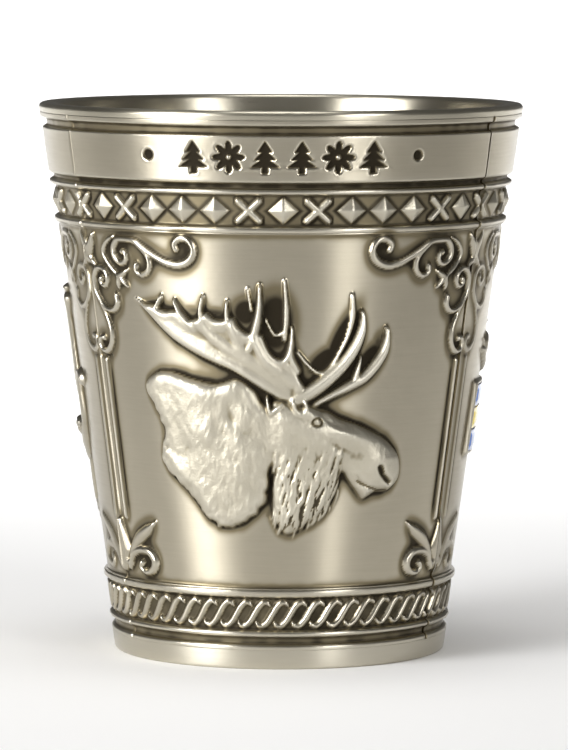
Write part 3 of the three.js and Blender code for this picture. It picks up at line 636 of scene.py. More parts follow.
def moose(relief):
    x, z = relief.projected(0.0) / MOOSE_SCALE, relief.z - FIELD_MIDDLE
    animal, shadows = animal_height(x, z)
    rise = np.maximum.reduce([animal, ribs(x, z, EARS, per_span=4), antler_height(x, z)])
    relief.lay(rise, -GROUND_DEPTH)
    for centre, radii, turn, depth in BEHIND_ANTLERS:
        relief.darken(np.clip(bump(x, z, centre, radii, depth, turn), 0, 1) * (rise < 0.12))
    eye_ring = np.hypot((x - EYE[0]) / 0.44, (z - EYE[1]) / 0.38)
    hollow = np.maximum.reduce([
        ridge(x, z, [(9.25, -5.6), (9.45, -6.3), (10.1, -7.0)], [0.24, 0.18, 0.2], 1.0),
        ridge(x, z, MOUTH, [0.08, 0.1], 0.8),
        np.exp(-(((eye_ring - 1) / 0.24) ** 2)),
    ])
    relief.darken(np.maximum(hollow, shadows))
    relief.frost = smooth(0.1, 0.4, rise) * (1 - hollow)


# ---- longship
# Half outlines run from the top of the middle line, out round the right side, to its foot.

SAIL_HALF = [(0, 11.1), (11.4, 10.6), (11.1, 7.8), (10.9, 5.4), (11.1, 2.6), (11.4, 0), (5, -0.8), (0, -1)]
HULL_HALF = [(0, -3.9), (6, -3.6), (9.4, -2.9), (11.6, -1.2), (10.8, -4.4), (8.6, -7), (5, -8.6), (0, -9.1)]
SHIP_STEM = [(10.2, -3.4), (11.2, -1.6), (11.6, 0.6), (12.1, 2), (12.9, 2.5), (13.4, 1.9), (13, 1.4)]
SHIP_SHEER = 0.018  # how the rail curves up towards both ends
SHIELDS_EACH_SIDE, SHIELD_PITCH, SHIELD_RADIUS = 4, 2.3, 0.95
RIGGING = [
    ([(0, -4), (0, 13.4)], [0.5, 0.42], 1.15),
    ([(-11.4, 10.9), (11.4, 10.9)], [0.3, 0.3], 0.75),
    *(([(0, 13), (side * 8.6, 10.9)], [0.12, 0.12], 0.4) for side in (-1, 1)),
    *(([(side * 10.8, 0), (side * 11, -1.6)], [0.12, 0.12], 0.4) for side in (-1, 1)),
]


def mirrored(half):
    """A closed outline from its right half."""
    return curved(half + [(-x, z) for x, z in half[-2:0:-1]], 4, closed=True)


def sail(x, z):
    inside = depth_inside(x, z, mirrored(SAIL_HALF))
    cloth = 0.62 * smooth(0, 0.3, inside) + 0.28 * smooth(0.2, 5, inside)
    stripe = np.cos(x * 2 * math.pi / 3.0)
    return np.where(inside > 0, cloth + 0.07 * np.sign(stripe) * np.abs(stripe) ** 0.4, 0.0)


def hull(x, z):
    inside = depth_inside(x, z, mirrored(HULL_HALF))
    plank = ((z + 3.9 - SHIP_SHEER * x * x) * 0.8) % 1.0
    return np.where(inside > 0, 0.95 * dome(inside, 2.4) + 0.06 * (np.abs(plank - 0.5) * 2 - 0.5), 0.0)


def shields(x, z):
    rise = np.zeros(x.shape)
    for i in range(-SHIELDS_EACH_SIDE, SHIELDS_EACH_SIDE + 1):
        middle = i * SHIELD_PITCH
        radius = np.hypot(x - middle, z + 4.6 - SHIP_SHEER * middle**2)
        disc = 1.0 + 0.14 * np.clip(1 - (radius / SHIELD_RADIUS) ** 2, 0, 1)
        disc += 0.14 * np.exp(-((radius - 0.82) / 0.1) ** 2)
        disc += 0.2 * np.clip(1 - (radius / 0.3) ** 2, 0, 1)
        rise = np.maximum(rise, disc * (radius < SHIELD_RADIUS))
    return rise


def oars(x, z):
    rowlocks = [i * SHIELD_PITCH for i in range(-SHIELDS_EACH_SIDE, SHIELDS_EACH_SIDE + 1)]
    shafts = [([(at + 0.3, -6.6), (at - 1.3, -11)], [0.13, 0.13, 0.3]) for at in rowlocks]
    return ribs(x, z, shafts, 0.45)


def waves(x, z):
    rise = np.zeros(x.shape)
    for row in range(3):
        crest = -11.3 - 0.75 * row + 0.32 * np.sin(x * 1.5 + row * 1.7)
        line = np.clip(1 - ((z - crest) / 0.22) ** 2, 0, 1) ** 0.5
        rise = np.maximum(rise, 0.34 * line * smooth(10.8 - row, 9.6 - row, np.abs(x)))
    return rise


def longship(relief):
    """A ship under sail: striped sail, planked hull with round shields, curled stem and stern."""
    x, z = relief.projected(0.0), relief.z - FIELD_MIDDLE
    stem_widths = [0.8, 0.65, 0.5, 0.42, 0.4, 0.3, 0.2]
    stems = [([(side * px, pz) for px, pz in SHIP_STEM], stem_widths) for side in (-1, 1)]
    pennant = curved([(0.2, 13.2), (2, 13.5), (3.4, 12.9), (5, 13.3)], 4)
    rise = np.maximum.reduce([part(x, z) for part in (sail, hull, shields, oars, waves)] + [
        ribs(x, z, RIGGING),
        ribs(x, z, stems, 0.6, 0.5, 5),
        ridge(x, z, pennant, [0.5, 0.42, 0.1], 0.6),
    ])
    relief.lay(rise, -GROUND_DEPTH)


# ---- flags with enamel cells

FLAG_WIDTH, FLAG_HEIGHT = 13.6, 7.6
FLAG_PANEL_TURN = 120
FLAG_AZIMUTH = 26.5
FLAG_CENTRE = -1.9
FLAG_BORDER = 0.45
FLAG_BAR, FLAG_HOIST = 2.1, 4.1
CELL_WALL = 0.2
FLAG_LIFT = 0.5
CELL_DEPTH = 0.35
POLE_FOOT, POLE_TOP = -10.5, 2.05
CROWN_FOOT = 0.8


def flag_cells(side):
    """Outline of each enamel cell, as the rectangles that make it up, in the flag's own frame."""
    half_width = FLAG_WIDTH / 2 - FLAG_BORDER
    half_height = FLAG_HEIGHT / 2 - FLAG_BORDER
    bar_left = -half_width + FLAG_HOIST
    bar_right = bar_left + FLAG_BAR
    bar, edge = FLAG_BAR / 2, FLAG_BAR / 2 + CELL_WALL
    cells = {
        "blue_upper_hoist": [(-half_width, bar_left - CELL_WALL, edge, half_height)],
        "blue_lower_hoist": [(-half_width, bar_left - CELL_WALL, -half_height, -edge)],
        "blue_upper_fly": [(bar_right + CELL_WALL, half_width, edge, half_height)],
        "blue_lower_fly": [(bar_right + CELL_WALL, half_width, -half_height, -edge)],
        "yellow_cross": [(-half_width, half_width, -bar, bar),
                         (bar_left, bar_right, -half_height, half_height)],
    }
    return {
        name: [(*sorted((side * a, side * b)), low + FLAG_CENTRE, high + FLAG_CENTRE)
               for a, b, low, high in boxes]
        for name, boxes in cells.items()
    }


def depth_in_boxes(x, z, boxes):
    """Distance to the edge of a shape made of rectangles, positive inside it."""
    return np.maximum.reduce([
        np.minimum.reduce([x - left, right - x, z - low, high - z]) for left, right, low, high in boxes
    ])


def leaf_spray(x, z, side):
    """A curved stem with pairs of pointed leaves."""
    stem = curved([(side * 8.2, 2.9), (side * 11, 3.9), (side * 13.6, 6)], 5)
    rise = ridge(x, z, stem, [0.16, 0.12], 0.35)
    for i, root in enumerate(stem[1:8]):
        for lean in (-1, 1):
            angle = math.radians(28 + 42 * lean + 4 * i)
            tip = root + 1.9 * np.array([side * math.cos(angle), math.sin(angle)])
            leaf = [root, (root + tip) / 2, tip]
            rise = np.maximum(rise, ridge(x, z, leaf, [0.1, 0.42, 0.06], 0.5, 0.8))
    return rise


def flags(relief):
    """Two flags on upright poles, either side of a plain crown and a pair of leaf sprays."""
    x, z = relief.projected(0.0), relief.z - FIELD_MIDDLE
    rise = np.maximum.reduce([crown(x, z - CROWN_FOOT), leaf_spray(x, z, -1), leaf_spray(x, z, 1)])
    sunk = np.zeros(z.shape)
    half_width, half_height = FLAG_WIDTH / 2, FLAG_HEIGHT / 2
    board = [(-half_width, half_width, FLAG_CENTRE - half_height, FLAG_CENTRE + half_height)]
    for side in (-1, 1):
        x = relief.projected(side * FLAG_AZIMUTH)
        pole = -side * half_width
        rise = np.maximum.reduce([
            rise,
            FLAG_LIFT * smooth(-0.05, 0.12, depth_in_boxes(x, z, board)),
            ridge(x, z, [(pole, POLE_FOOT), (pole, POLE_TOP)], [0.42, 0.42], 0.85),
            ridge(x, z, [(pole, POLE_FOOT), (pole, POLE_FOOT - 0.1)], [0.62, 0.62], 0.8),
        ])
        for boxes in flag_cells(side).values():
            sunk = np.maximum(sunk, smooth(-0.07, 0.05, depth_in_boxes(x, z, boxes)))
    relief.lay(rise, -GROUND_DEPTH)
    relief.height -= (CELL_DEPTH + 0.02) * sunk
    relief.darken(0.9 * sunk)


def crown(x, z):
    """A plain arched crown: a jewelled band, five arches with pearls, an orb and a cross."""
    band = depth_in_boxes(x, z, [(-6.6, 6.6, 1.6, 3.4)])
    rims = depth_in_boxes(x, z, [(-6.6, 6.6, 1.6, 2.0), (-6.6, 6.6, 3.0, 3.4)])
    rise = 0.55 * smooth(0, 0.25, band) + 0.14 * smooth(0, 0.2, rims)
    for i in range(-4, 5):
        gem = np.clip(1 - (np.abs(x - 1.45 * i) + np.abs(z - 2.5)) / 0.5, 0, 1)
        rise = np.maximum(rise, (0.55 + 0.3 * gem) * (gem > 0))
    for i in range(-2, 3):
        arch = curved([(2.9 * i, 3.3), (3.5 * i, 4.9), (3.2 * i, 6.8), (1.9 * i, 8.3), (0, 8.9)], 5)
        rise = np.maximum(rise, ridge(x, z, arch, [0.34, 0.3, 0.24, 0.3], 0.6))
        for spot in arch[4:15:5] if i % 2 == 0 else ():
            pearl = np.clip(1 - ((x - spot[0]) ** 2 + (z - spot[1]) ** 2) / 0.13, 0, 1)
            rise = np.maximum(rise, (0.6 + 0.28 * np.sqrt(pearl)) * (pearl > 0))
    orb = 0.85 * np.sqrt(np.clip(1 - (x**2 + (z - 9.7) ** 2) / 0.8, 0, 1))
    cross = [([(0, 10.4), (0, 12)], [0.2, 0.26]), ([(-0.65, 11.3), (0.65, 11.3)], [0.24, 0.24])]
    return np.maximum.reduce([rise, orb, ribs(x, z, cross)])


# ---- panels as closed meshes


class Relief:
    """Offsets from the cone over one panel's grid, and how dark each point is stained or painted in shade.
    """

    def __init__(self, columns, levels, crispness):
        self.crispness = crispness
        angles = np.linspace(-HALF_PANEL, HALF_PANEL, columns + 1)
        self.angle, self.z = np.meshgrid(angles, levels)
        self.radius = cone(self.z) - GROUND_DEPTH
        self.from_seam = np.radians(HALF_PANEL - np.abs(self.angle)) * self.radius
        self.from_corner = self.from_seam + np.radians(PICTURE_TURN) * self.radius * np.sign(self.angle)
        self.height = band_profile(self.z)
        # Real patina and painted shade, such as the shadows beside the rods and seams, both go into this
        # field.
        self.stain_and_shade = np.zeros(self.z.shape)
        self.raised = np.zeros(self.z.shape)
        self.tint = np.full(self.z.shape, 0.6)
        self.frost = np.zeros(self.z.shape)

    def distance_from(self, azimuth):
        return np.radians(self.angle - azimuth - PICTURE_TURN) * self.radius

    def projected(self, azimuth):
        turn = np.radians(self.angle - azimuth - PICTURE_TURN)
        return np.where(np.abs(turn) < 1.4, self.radius * np.sin(turn), FAR)

    def darken(self, stain_and_shade):
        self.stain_and_shade = np.maximum(self.stain_and_shade, stain_and_shade)

    def lay(self, rise, ground):
        """Put a relief on the ground at an offset, without lowering what is already there."""
        self.height = np.where(rise > 0.004, np.maximum(self.height, ground + rise), self.height)
        self.raised = np.maximum(self.raised, rise)


def seam_edges(relief):
    """The left edge keeps a fine raised flash line and the right edge is slightly rounded off, with painted
    shade along it.
    """
    s, z = relief.from_seam, relief.z
    waver = 0.05 * lattice_noise(z * 0.5, np.full(z.shape, 3.0), 5)
    left = relief.angle < 0
    ridged = 1 - between(z, SMOOTH_BOTTOM, RIM_GROOVE_BOTTOM, 0.1)
    relief.height += 0.15 * left * ridged * np.exp(-((s + waver) / 0.11) ** 2)
    relief.height -= 0.1 * ~left * np.exp(-((s + waver) / 0.16) ** 2)
    # Painted shade along the rounded right edge of the seam step.
    relief.darken(0.9 * ~left * np.exp(-(s / 0.1) ** 2))


# How much lighter the plinth is painted, a painted reflection of the pale floor below it.
PLINTH_FLOOR_REFLECTION = 0.6


def tone(relief):
    """Dark patina where the surface is hollow, with painted shade laid over it, and polish where it stands
    proud, with the plinth painted lighter as a painted reflection of the floor.
    """
    z = relief.z
    low_near = blurred(relief.height, 2.0) - relief.height
    low_far = blurred(relief.height, 6.0) - relief.height
    grain = 0.5 + 0.5 * lattice_noise(relief.distance_from(0) * 1.1, z * 1.1, 8)
    hollow = 3.4 * np.clip(low_near, 0, 1) + 2.2 * np.clip(low_far - 0.03, 0, 1) * (0.7 + 0.5 * grain)
    ground = smooth(0.1, 0.02, relief.raised)
    floor = sum(share * between(z, low, high, 0.1) for low, high, share in (
        (PLINTH_TOP, FOOT_GROOVE_TOP, 0.4),
        (ROPE_BOTTOM, ROPE_TOP, 0.78 * ground),
        (LOZENGE_BOTTOM, LOZENGE_TOP, (0.5 + 0.4 * relief.tint) * ground),
        (SMOOTH_GROOVE_BOTTOM, SMOOTH_BOTTOM, 0.68),
        (RIM_GROOVE_BOTTOM, RIM_GROOVE_BOTTOM + 0.22, 0.3),
        (RIM_GROOVE_BOTTOM, BEAD_BOTTOM, 0.56),
    ))
    # The stain field brings painted shade in with the real patina.
    patina_and_shade = np.maximum.reduce([hollow, floor * (0.9 + 0.2 * grain), relief.stain_and_shade])
    polish_and_floor_reflection = np.clip(2.0 * np.clip(-low_near, 0, 1) + np.clip(-low_far, 0, 1), 0, 1)
    # The plinth band is painted lighter as a painted reflection of the floor.
    polish_and_floor_reflection = np.maximum(polish_and_floor_reflection, PLINTH_FLOOR_REFLECTION * smooth(PLINTH_TOP - 0.1, PLINTH_TOP - 0.3, z))
    return np.clip(patina_and_shade * (0.35 + 0.65 * relief.crispness), 0, 1), polish_and_floor_reflection


def place(azimuth_degrees, radius, z):
    angle = np.radians(azimuth_degrees)
    return np.stack([radius * np.sin(angle), -radius * np.cos(angle), z + 0 * angle], axis=-1) * MM


def new_mesh(name, vertices, faces, flat_from=None):
    mesh = bpy.data.meshes.new(name)
    mesh.from_pydata(vertices.tolist(), [], faces)
    smooth_faces = np.ones(len(mesh.polygons), bool)
    if flat_from is not None:
        smooth_faces[flat_from:] = False
    mesh.polygons.foreach_set("use_smooth", smooth_faces)
    mesh.update()
    piece = bpy.data.objects.new(name, mesh)
    bpy.context.scene.collection.objects.link(piece)
    return piece


def grid_faces(rows, columns, wrap=False):
    last = columns if wrap else columns - 1
    row, column = np.meshgrid(np.arange(rows - 1), np.arange(last), indexing="ij")
    following = (column + 1) % columns
    a, b = row * columns + column, row * columns + following
    return np.stack([a, b, b + columns, a + columns], axis=-1).reshape(-1, 4)


def closed_sheet(name, front, back):
    """A closed mesh: a fine front grid, and a plain back ruled between its lowest and highest row."""
    rows, count = front.shape[:2]
    low_front, top_front = np.arange(count), (rows - 1) * count + np.arange(count)
    low_back = rows * count + np.arange(count)
    top_back = low_back + count
    faces = grid_faces(rows, count).tolist()
    flat_from = len(faces)
    faces += np.stack([low_back[1:], low_back[:-1], top_back[:-1], top_back[1:]], axis=1).tolist()
    faces += np.stack([top_front[:-1], top_front[1:], top_back[1:], top_back[:-1]], axis=1).tolist()
    faces += np.stack([low_front[1:], low_front[:-1], low_back[:-1], low_back[1:]], axis=1).tolist()
    column = np.arange(rows) * count
    faces.append(column[::-1].tolist() + [low_back[0], top_back[0]])
    faces.append((column + count - 1).tolist() + [top_back[-1], low_back[-1]])
    return new_mesh(name, np.vstack([front.reshape(-1, 3), back.reshape(-1, 3)]), faces, flat_from)


def paint(piece, label, values):
    """Give each vertex a value that the pewter reads under a label."""
    piece.data.attributes.new(label, "FLOAT", "POINT").data.foreach_set("value", values)


def panel_pieces(name, turn, picture, columns, step, crispness):
    """One relief panel, as three meshes that meet in the dark lines above and below its picture."""
    levels, divisions = make_levels(step)
    relief = Relief(columns, levels, crispness)
    picture(relief)
    for part in (rope, lozenges, smooth_band_marks, scrolls, lilies, seam_edges):
        part(relief)
    relief.height = blurred(relief.height, 0.75)
    patina_and_shade, polish_and_floor_reflection = tone(relief)
    azimuth = relief.angle * (1 - np.degrees(SEAM_HALF_GAP / relief.radius) / HALF_PANEL) + turn
    front = place(azimuth, cone(relief.z) + relief.height, relief.z)
    back = place(azimuth, cone(relief.z) - PANEL_WALL, relief.z)
    pieces = []
    edges = [0, *divisions, len(levels) - 1]
    for block, first, last in zip(("foot", "picture", "rim"), edges[:-1], edges[1:]):
        piece = closed_sheet(f"panel_{name}_{block}", front[first : last + 1], back[[first, last]])
        for label, values in (("patina_and_shade", patina_and_shade), ("polish_and_floor_reflection", polish_and_floor_reflection), ("frost", relief.frost)):
            paint(piece, label, np.append(values[first : last + 1], np.zeros(2 * (columns + 1))))
        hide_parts(f"relief_panel_{name}")
        pieces.append(piece)
    return pieces


# ---- turned pieces


def arc(centre, radius, start, end, count=8):
    angles = np.radians(np.linspace(start, end, count))
    return [(centre[0] + radius * math.cos(a), centre[1] + radius * math.sin(a)) for a in angles]


def turned_piece(name, node, profile, segments=256):
    """A closed piece turned about +Z from (radius, z) points that start and end on the axis."""
    middle = profile[1:-1]
    angles = np.linspace(0, 360, segments, endpoint=False)
    rings = [place(angles, np.full(segments, r), np.full(segments, z)) for r, z in middle]
    vertices = np.vstack(rings + [[[0, 0, profile[0][1] * MM]], [[0, 0, profile[-1][1] * MM]]])
    faces = grid_faces(len(middle), segments, wrap=True).tolist()
    start, end = len(vertices) - 2, len(vertices) - 1
    last = (len(middle) - 1) * segments
    for j in range(segments):
        k = (j + 1) % segments
        faces.append((start, k, j))
        faces.append((last + j, last + k, end))
    piece = new_mesh(name, vertices, faces)
    piece.data.set_sharp_from_angle(angle=math.radians(40))
    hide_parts(node)
    return piece


def inner_cup():
    """Spun cup with a rounded floor bend and a rolled lip over the panels."""
    inside_offset = PANEL_WALL + CUP_GAP + CUP_WALL
    outside_offset = PANEL_WALL + CUP_GAP
    floor = CUP_BOTTOM + CUP_WALL
    lip_bottom = PANEL_TOP + 0.01
    outer_bend = CUP_CORNER + CUP_WALL
    wall_out = cone(CUP_BOTTOM + outer_bend) - outside_offset - outer_bend
    wall_in = cone(floor + CUP_CORNER) - inside_offset - CUP_CORNER
    profile = [(0, CUP_BOTTOM), (6, CUP_BOTTOM)]
    profile += arc((wall_out, CUP_BOTTOM + outer_bend), outer_bend, -90, 0)
    profile += [(cone(lip_bottom) - outside_offset, lip_bottom)]
    rounding, lean = 0.45, math.degrees(math.atan(SLOPE))
    bend_z = HEIGHT - rounding
    bend_r = cone(bend_z) + LIP_OVERHANG - rounding / math.cos(math.radians(lean))
    profile += [(cone(PANEL_TOP) + LIP_OVERHANG, lip_bottom)]
    profile += arc((bend_r, bend_z), rounding, -lean, 90, 10)
    inner_top = cone(HEIGHT) - inside_offset
    profile += [(inner_top + 0.9, HEIGHT - 0.02)]
    profile += arc((inner_top + 0.5, HEIGHT - 0.52), 0.5, 90, 172, 7)
    for z in np.linspace(HEIGHT - 1.4, floor + CUP_CORNER + 0.4, 24):
        profile.append((cone(z) - inside_offset + 0.012 * math.sin(z * 5.0), z))
    profile += arc((wall_in, floor + CUP_CORNER), CUP_CORNER, 0, -90)
    profile += [(6, floor), (1.2, floor - 0.03), (0, floor - 0.03)]
    return turned_piece("cup_spun", "inner_cup", profile)


def base_cap():
    """Shallow cap with a rounded lower edge, a standing ring and a dished underside."""
    top = PANEL_BOTTOM - 0.008
    floor = 1.8
    edge, dish_edge = 0.35, 0.32
    spigot = cone(BASE_CAP_HEIGHT) - PANEL_WALL - SPIGOT_GAP
    spigot_inside = spigot - SPIGOT_WALL
    profile = [(0, 0.62), (4, 0.6), (12.6, 0.5)]
    profile += arc((13.4, dish_edge), dish_edge, 160, 270, 5)
    profile += arc((cone(0) - 0.33, edge), edge, -90, -8, 7)
    profile += [(cone(1.0), 1.0), (cone(top), top), (spigot, top), (spigot, SPIGOT_TOP)]
    profile += [(spigot_inside, SPIGOT_TOP), (spigot_inside, floor), (0, floor)]
    piece = turned_piece("cap_cast", "base_cap", profile)
    # The whole cap is painted lighter, a painted reflection of the pale floor.
    paint(piece, "polish_and_floor_reflection", np.full(len(piece.data.vertices), PLINTH_FLOOR_REFLECTION))
    return piece


# ---- enamel


def slab_faces(filled):
    """Faces of a closed slab over the filled squares of a grid."""
    columns = filled.shape[1] + 1
    under = (filled.shape[0] + 1) * columns
    padded = np.pad(filled, 1)
    faces = []
    for i, j in np.argwhere(filled):
        a = i * columns + j
        b, c, d = a + 1, a + 1 + columns, a + columns
        faces += [(a, b, c, d), (d + under, c + under, b + under, a + under)]
        sides = ((a, b, i, j + 1), (b, c, i + 1, j + 2), (c, d, i + 2, j + 1), (d, a, i + 1, j))
        for p, q, row, column in sides:
            if not padded[row, column]:
                faces.append((q, p, p + under, q + under))
    return faces


def enamel_piece(name, node, side, boxes):
    """A cell's fill: slightly domed, with a soft meniscus at its edge."""
    gap, step, below_rim = 0.03, 0.14, 0.07
    boxes = [(left + gap, right - gap, low + gap, high - gap) for left, right, low, high in boxes]
    x, z = np.meshgrid(spaced([edge for box in boxes for edge in box[:2]], step),
                       spaced([edge for box in boxes for edge in box[2:]], step))
    square_middles = ((grid[:-1, :-1] + grid[1:, 1:]) / 2 for grid in (x, z))
    faces = slab_faces(depth_in_boxes(*square_middles, boxes) > 0)
    depth = depth_in_boxes(x, z, boxes)
    level = z + FIELD_MIDDLE
    ground = cone(level) - GROUND_DEPTH
    floor = ground + FLAG_LIFT - CELL_DEPTH
    top = floor + CELL_DEPTH - below_rim + 0.08 * smooth(0, 0.5, depth)
    top -= 0.05 * np.exp(-((depth - 0.25) / 0.15) ** 2)
    middle = FLAG_PANEL_TURN + PICTURE_TURN + side * FLAG_AZIMUTH
    angle = middle + np.degrees(np.arcsin(x / ground))
    vertices = np.vstack([place(angle, radius, level).reshape(-1, 3) for radius in (top, floor)])
    used = sorted({v for face in faces for v in face})
    index = {v: k for k, v in enumerate(used)}
    piece = new_mesh(name, vertices[used], [tuple(index[v] for v in face) for face in faces])
    piece.data.set_sharp_from_angle(angle=math.radians(50))
    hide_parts(node)
    return piece


def spaced(stops, step):
    """Evenly spaced values that hit every stop."""
    stops = sorted(set(round(s, 6) for s in stops))
    values = []
    for low, high in zip(stops[:-1], stops[1:]):
        values.extend(np.linspace(low, high, max(1, round((high - low) / step)), endpoint=False))
    return np.array(values + [stops[-1]])


# ---- materials


class Nodes:
    """Short-hand for building one material's node tree."""

    def __init__(self, name):
        self.material = bpy.data.materials.new(name)
        self.material.use_nodes = True
        self.tree = self.material.node_tree
        self.shader = self.tree.nodes["Principled BSDF"]

    def add(self, kind, inputs, **settings):
        node = self.tree.nodes.new(kind)
        for key, value in settings.items():
            setattr(node, key, value)
        for key, value in inputs.items():
            self.set(node.inputs[key], value)
        return node

    def set(self, socket, value):
        if isinstance(value, bpy.types.NodeSocket):
            self.tree.links.new(value, socket)
        else:
            socket.default_value = value

    def shade(self, key, value):
        self.set(self.shader.inputs[key], value)

    def math(self, operation, a, b, clamp=False):
        return self.add("ShaderNodeMath", {0: a, 1: b}, operation=operation, use_clamp=clamp).outputs[0]

    def plus(self, a, b, clamp=False):
        return self.math("ADD", a, b, clamp)

    def times(self, a, b, clamp=False):
        return self.math("MULTIPLY", a, b, clamp)

    def mix(self, share, a, b):
        node = self.add("ShaderNodeMix", {}, data_type="RGBA")
        for index, value in ((0, share), (6, a), (7, b)):
            self.set(node.inputs[index], value)
        return node.outputs[2]

    def ramp(self, value, low, high):
        return self.add("ShaderNodeMapRange", {0: value, 1: low, 2: high, 3: 0.0, 4: 1.0},
                        interpolation_type="SMOOTHSTEP").outputs[0]

    def attribute(self, name):
        return self.add("ShaderNodeAttribute", {}, attribute_name=name).outputs["Fac"]

    def noise(self, scale, detail, stretch=(1, 1, 1)):
        where = self.add("ShaderNodeTexCoord", {}).outputs["Object"]
        stretched = self.add("ShaderNodeMapping", {"Vector": where, "Scale": stretch}).outputs[0]
        inputs = {"Vector": stretched, "Scale": scale, "Detail": detail}
        return self.add("ShaderNodeTexNoise", inputs).outputs["Fac"]

    def brush_round_axis(self, strength):
        """Stretch highlights across brush lines that run round +Z."""
        tangent = self.add("ShaderNodeTangent", {}, direction_type="RADIAL", axis="Z")
        self.shade("Tangent", tangent.outputs[0])
        self.shade("Anisotropic Rotation", 0.25)
        self.shade("Anisotropic", strength)

    def roughen(self, height, strength):
        """Fine relief of 0.05 mm at most, in the normals only."""
        inputs = {"Height": height, "Strength": strength, "Distance": 0.05 * MM}
        self.shade("Normal", self.add("ShaderNodeBump", inputs).outputs[0])


def pewter():
    """Antique pewter: brushed high parts, burnished edges and brown-black patina in the hollows, with
    painted shade in the darkest parts and a painted floor reflection on the plinth.
    """
    nodes = Nodes("antique_pewter")
    patina_and_shade, polish_and_floor_reflection, frost = (nodes.attribute(name) for name in ("patina_and_shade", "polish_and_floor_reflection", "frost"))
    brush = nodes.noise(220, 4, (1, 1, 22))
    cloud = nodes.noise(160, 4)
    grain = nodes.noise(2600, 3)
    blotch = nodes.plus(nodes.times(cloud, 0.5), -0.25)
    # Brown-black for the patina and for the painted shade carried with it.
    stain_and_shade = nodes.ramp(nodes.plus(patina_and_shade, nodes.times(blotch, patina_and_shade), clamp=True), 0.3, 1.0)
    metal = nodes.mix(cloud, (0.46, 0.42, 0.33, 1), (0.53, 0.485, 0.385, 1))
    metal = nodes.mix(nodes.times(brush, 0.35), metal, (0.37, 0.33, 0.25, 1))
    metal = nodes.mix(nodes.times(frost, 0.6), metal, (0.56, 0.525, 0.43, 1))
    # Lighter where burnished, and on the plinth as a painted reflection of the floor.
    metal = nodes.mix(nodes.times(polish_and_floor_reflection, 0.7, clamp=True), metal, (0.76, 0.73, 0.64, 1))
    warm = nodes.mix(nodes.ramp(patina_and_shade, 0.02, 0.4), metal, (0.22, 0.185, 0.115, 1))
    nodes.shade("Base Color", nodes.mix(stain_and_shade, warm, (0.02, 0.0155, 0.009, 1)))
    nodes.shade("Metallic", nodes.math("SUBTRACT", 1.0, nodes.times(stain_and_shade, 0.75)))
    rough = nodes.plus(nodes.times(brush, 0.1), 0.28)
    rough = nodes.plus(rough, nodes.times(stain_and_shade, 0.3))
    nodes.shade("Roughness", nodes.plus(rough, nodes.times(frost, 0.13)))
    nodes.shade("Specular IOR Level", nodes.math("SUBTRACT", 0.5, nodes.times(stain_and_shade, 0.42)))
    brushed = nodes.math("SUBTRACT", 1.0, nodes.math("MAXIMUM", frost, patina_and_shade), clamp=True)
    nodes.brush_round_axis(nodes.times(brushed, 0.85))
    frosting = nodes.times(nodes.times(nodes.noise(5200, 3), frost), 2.2)
    fine = nodes.plus(nodes.times(brush, 0.7), nodes.times(grain, 0.5))
    nodes.roughen(nodes.plus(fine, frosting), 0.22)
    return nodes.material


def spun_metal():
    """Bright spun metal with fine rings round the cup."""
    nodes = Nodes("spun_metal")
    rings = nodes.noise(160, 3, (0.6, 0.6, 40))
    cloud = nodes.noise(90, 3)
    nodes.shade("Base Color", nodes.mix(cloud, (0.5, 0.465, 0.37, 1), (0.6, 0.56, 0.46, 1)))
    nodes.shade("Metallic", 1.0)
    nodes.shade("Roughness", nodes.plus(nodes.times(rings, 0.14), 0.24))
    nodes.brush_round_axis(0.8)
    nodes.roughen(rings, 0.25)
    return nodes.material


def enamel(name, light, deep):
    """Glossy enamel with a slight cloudiness."""
    nodes = Nodes(name)
    cloud = nodes.noise(400, 3)
    nodes.shade("Base Color", nodes.mix(cloud, deep, light))
    nodes.shade("Roughness", nodes.plus(nodes.times(cloud, 0.1), 0.12))
    nodes.shade("Coat Weight", 0.6)
    nodes.shade("Coat Roughness", 0.08)
    nodes.roughen(nodes.noise(900, 2), 0.1)
    return nodes.material


def pale_floor():
    nodes = Nodes("pale_floor")
    nodes.shade("Base Color", (0.93, 0.93, 0.93, 1))
    nodes.shade("Roughness", 0.9)
    nodes.shade("Specular IOR Level", 0.1)
    return nodes.material


# ---- the object


def build_object():
    antique, spun = pewter(), spun_metal()
    enamels = {
        "enamel_blue": enamel("enamel_blue", (0.07, 0.2, 0.62, 1), (0.03, 0.11, 0.42, 1)),
        "enamel_yellow": enamel("enamel_yellow", (0.95, 0.76, 0.12, 1), (0.82, 0.6, 0.05, 1)),
    }
    pieces = []
    # name, turn in degrees, picture, columns, grid step in millimetres and crispness
    for panel in (
        ("front", 0, moose, 420, 0.15, 1.0),
        ("left", -120, longship, 330, 0.17, 0.5),
        ("right", FLAG_PANEL_TURN, flags, 330, 0.17, 0.5),
    ):
        pieces += [(piece, antique, "pewter") for piece in panel_pieces(*panel)]
    pieces.append((inner_cup(), spun, "steel"))
    pieces.append((base_cap(), antique, "pewter"))
    for flag, side in (("near_flag", -1), ("far_flag", 1)):
        for cell, boxes in flag_cells(side).items():
            piece = enamel_piece(f"fill_{flag}_{cell}", f"enamel_{flag}_{cell}", side, boxes)
            slot = "enamel_" + cell.split("_")[0]
            pieces.append((piece, enamels[slot], slot))
    for piece, material, slot in pieces:
        piece.data.materials.append(material)
        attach(piece, "root")


# ---- floor, lights, camera


def area_light(name, location, target, size, power, spread):
    light = bpy.data.lights.new(name, "AREA")
    light.shape = "RECTANGLE"
    light.size, light.size_y = size
    light.energy = power
    light.spread = math.radians(spread)
    lamp = bpy.data.objects.new(name, light)
    lamp.location = location
    lamp.rotation_euler = (Vector(target) - Vector(location)).to_track_quat("-Z", "Z").to_euler()
    bpy.context.scene.collection.objects.link(lamp)


def around(azimuth, distance, height):
    angle = math.radians(azimuth)
    return (distance * math.sin(angle), -distance * math.cos(angle), height)


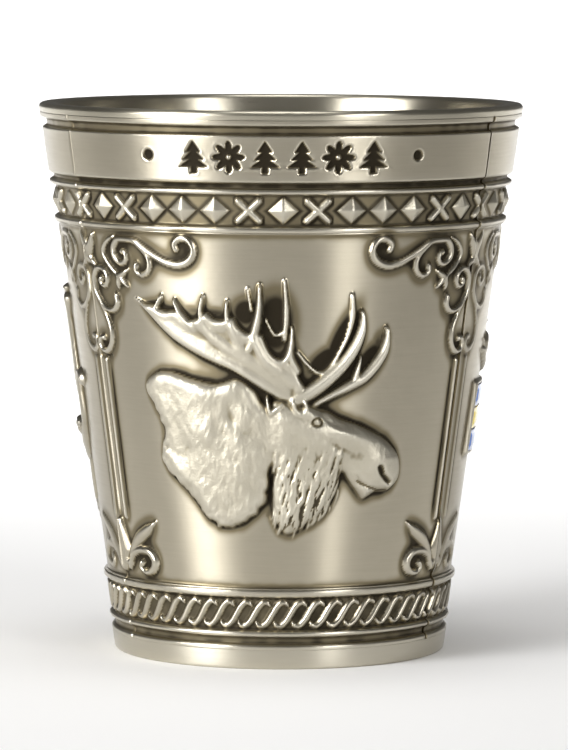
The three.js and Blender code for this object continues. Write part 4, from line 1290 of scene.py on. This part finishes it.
def studio_world(around_floor, in_metal):
    """Pale surroundings that the polished metal mirrors as a dimmer room."""
    world = bpy.data.worlds.new("studio")
    world.use_nodes = True
    tree = world.node_tree
    ray = tree.nodes.new("ShaderNodeLightPath")
    strength = tree.nodes.new("ShaderNodeMapRange")
    strength.inputs["To Min"].default_value = around_floor
    strength.inputs["To Max"].default_value = in_metal
    background = tree.nodes["Background"]
    background.inputs["Color"].default_value = (1.0, 0.98, 0.95, 1)
    tree.links.new(ray.outputs["Is Glossy Ray"], strength.inputs["Value"])
    tree.links.new(strength.outputs["Result"], background.inputs["Strength"])
    return world


def make_studio():
    half = 6.0
    corners = np.array([(-half, -half, 0), (half, -half, 0), (half, half, 0), (-half, half, 0)])
    floor = new_mesh("floor", corners, [(0, 1, 2, 3)])
    floor.data.materials.append(pale_floor())
    bpy.context.scene.world = studio_world(around_floor=0.36, in_metal=0.1)
    middle = (0, 0, HEIGHT * MM * 0.5)
    # name, place, aim, size in metres, watts and spread in degrees
    area_light("key_left", around(-52, 0.55, 0.16), middle, (0.32, 0.32), 0.98, 80)
    area_light("fill_right", around(38, 0.6, 0.16), middle, (0.12, 0.32), 0.25, 80)
    area_light("above_camera", (0, -0.75, 0.44), middle, (0.8, 0.26), 0.02, 80)
    area_light("top", (0, -0.01, 0.36), (0, -0.01, 0), (0.16, 0.16), 0.03, 50)
    area_light("behind", (0, 2.3, 0.35), (0, 2.3, 0), (4.4, 4.3), 74, 60)


def make_camera():
    camera = bpy.data.cameras.new("camera")
    camera.sensor_width = 36.0
    camera.lens = 238.8
    camera.clip_start, camera.clip_end = 0.01, 50.0
    eye = bpy.data.objects.new("camera", camera)
    eye.location = (0.0003, -0.505, 0.0742)
    target = Vector((0.0004, 0, 0.0278))
    eye.rotation_euler = (target - eye.location).to_track_quat("-Z", "Y").to_euler()
    eye.rotation_euler.rotate_axis("Z", math.radians(0.2))
    bpy.context.scene.collection.objects.link(eye)
    bpy.context.scene.camera = eye


make_camera()
make_studio()
build_object()
bpy.context.scene.view_settings.view_transform = "Standard"

bpy.context.view_layer.update()
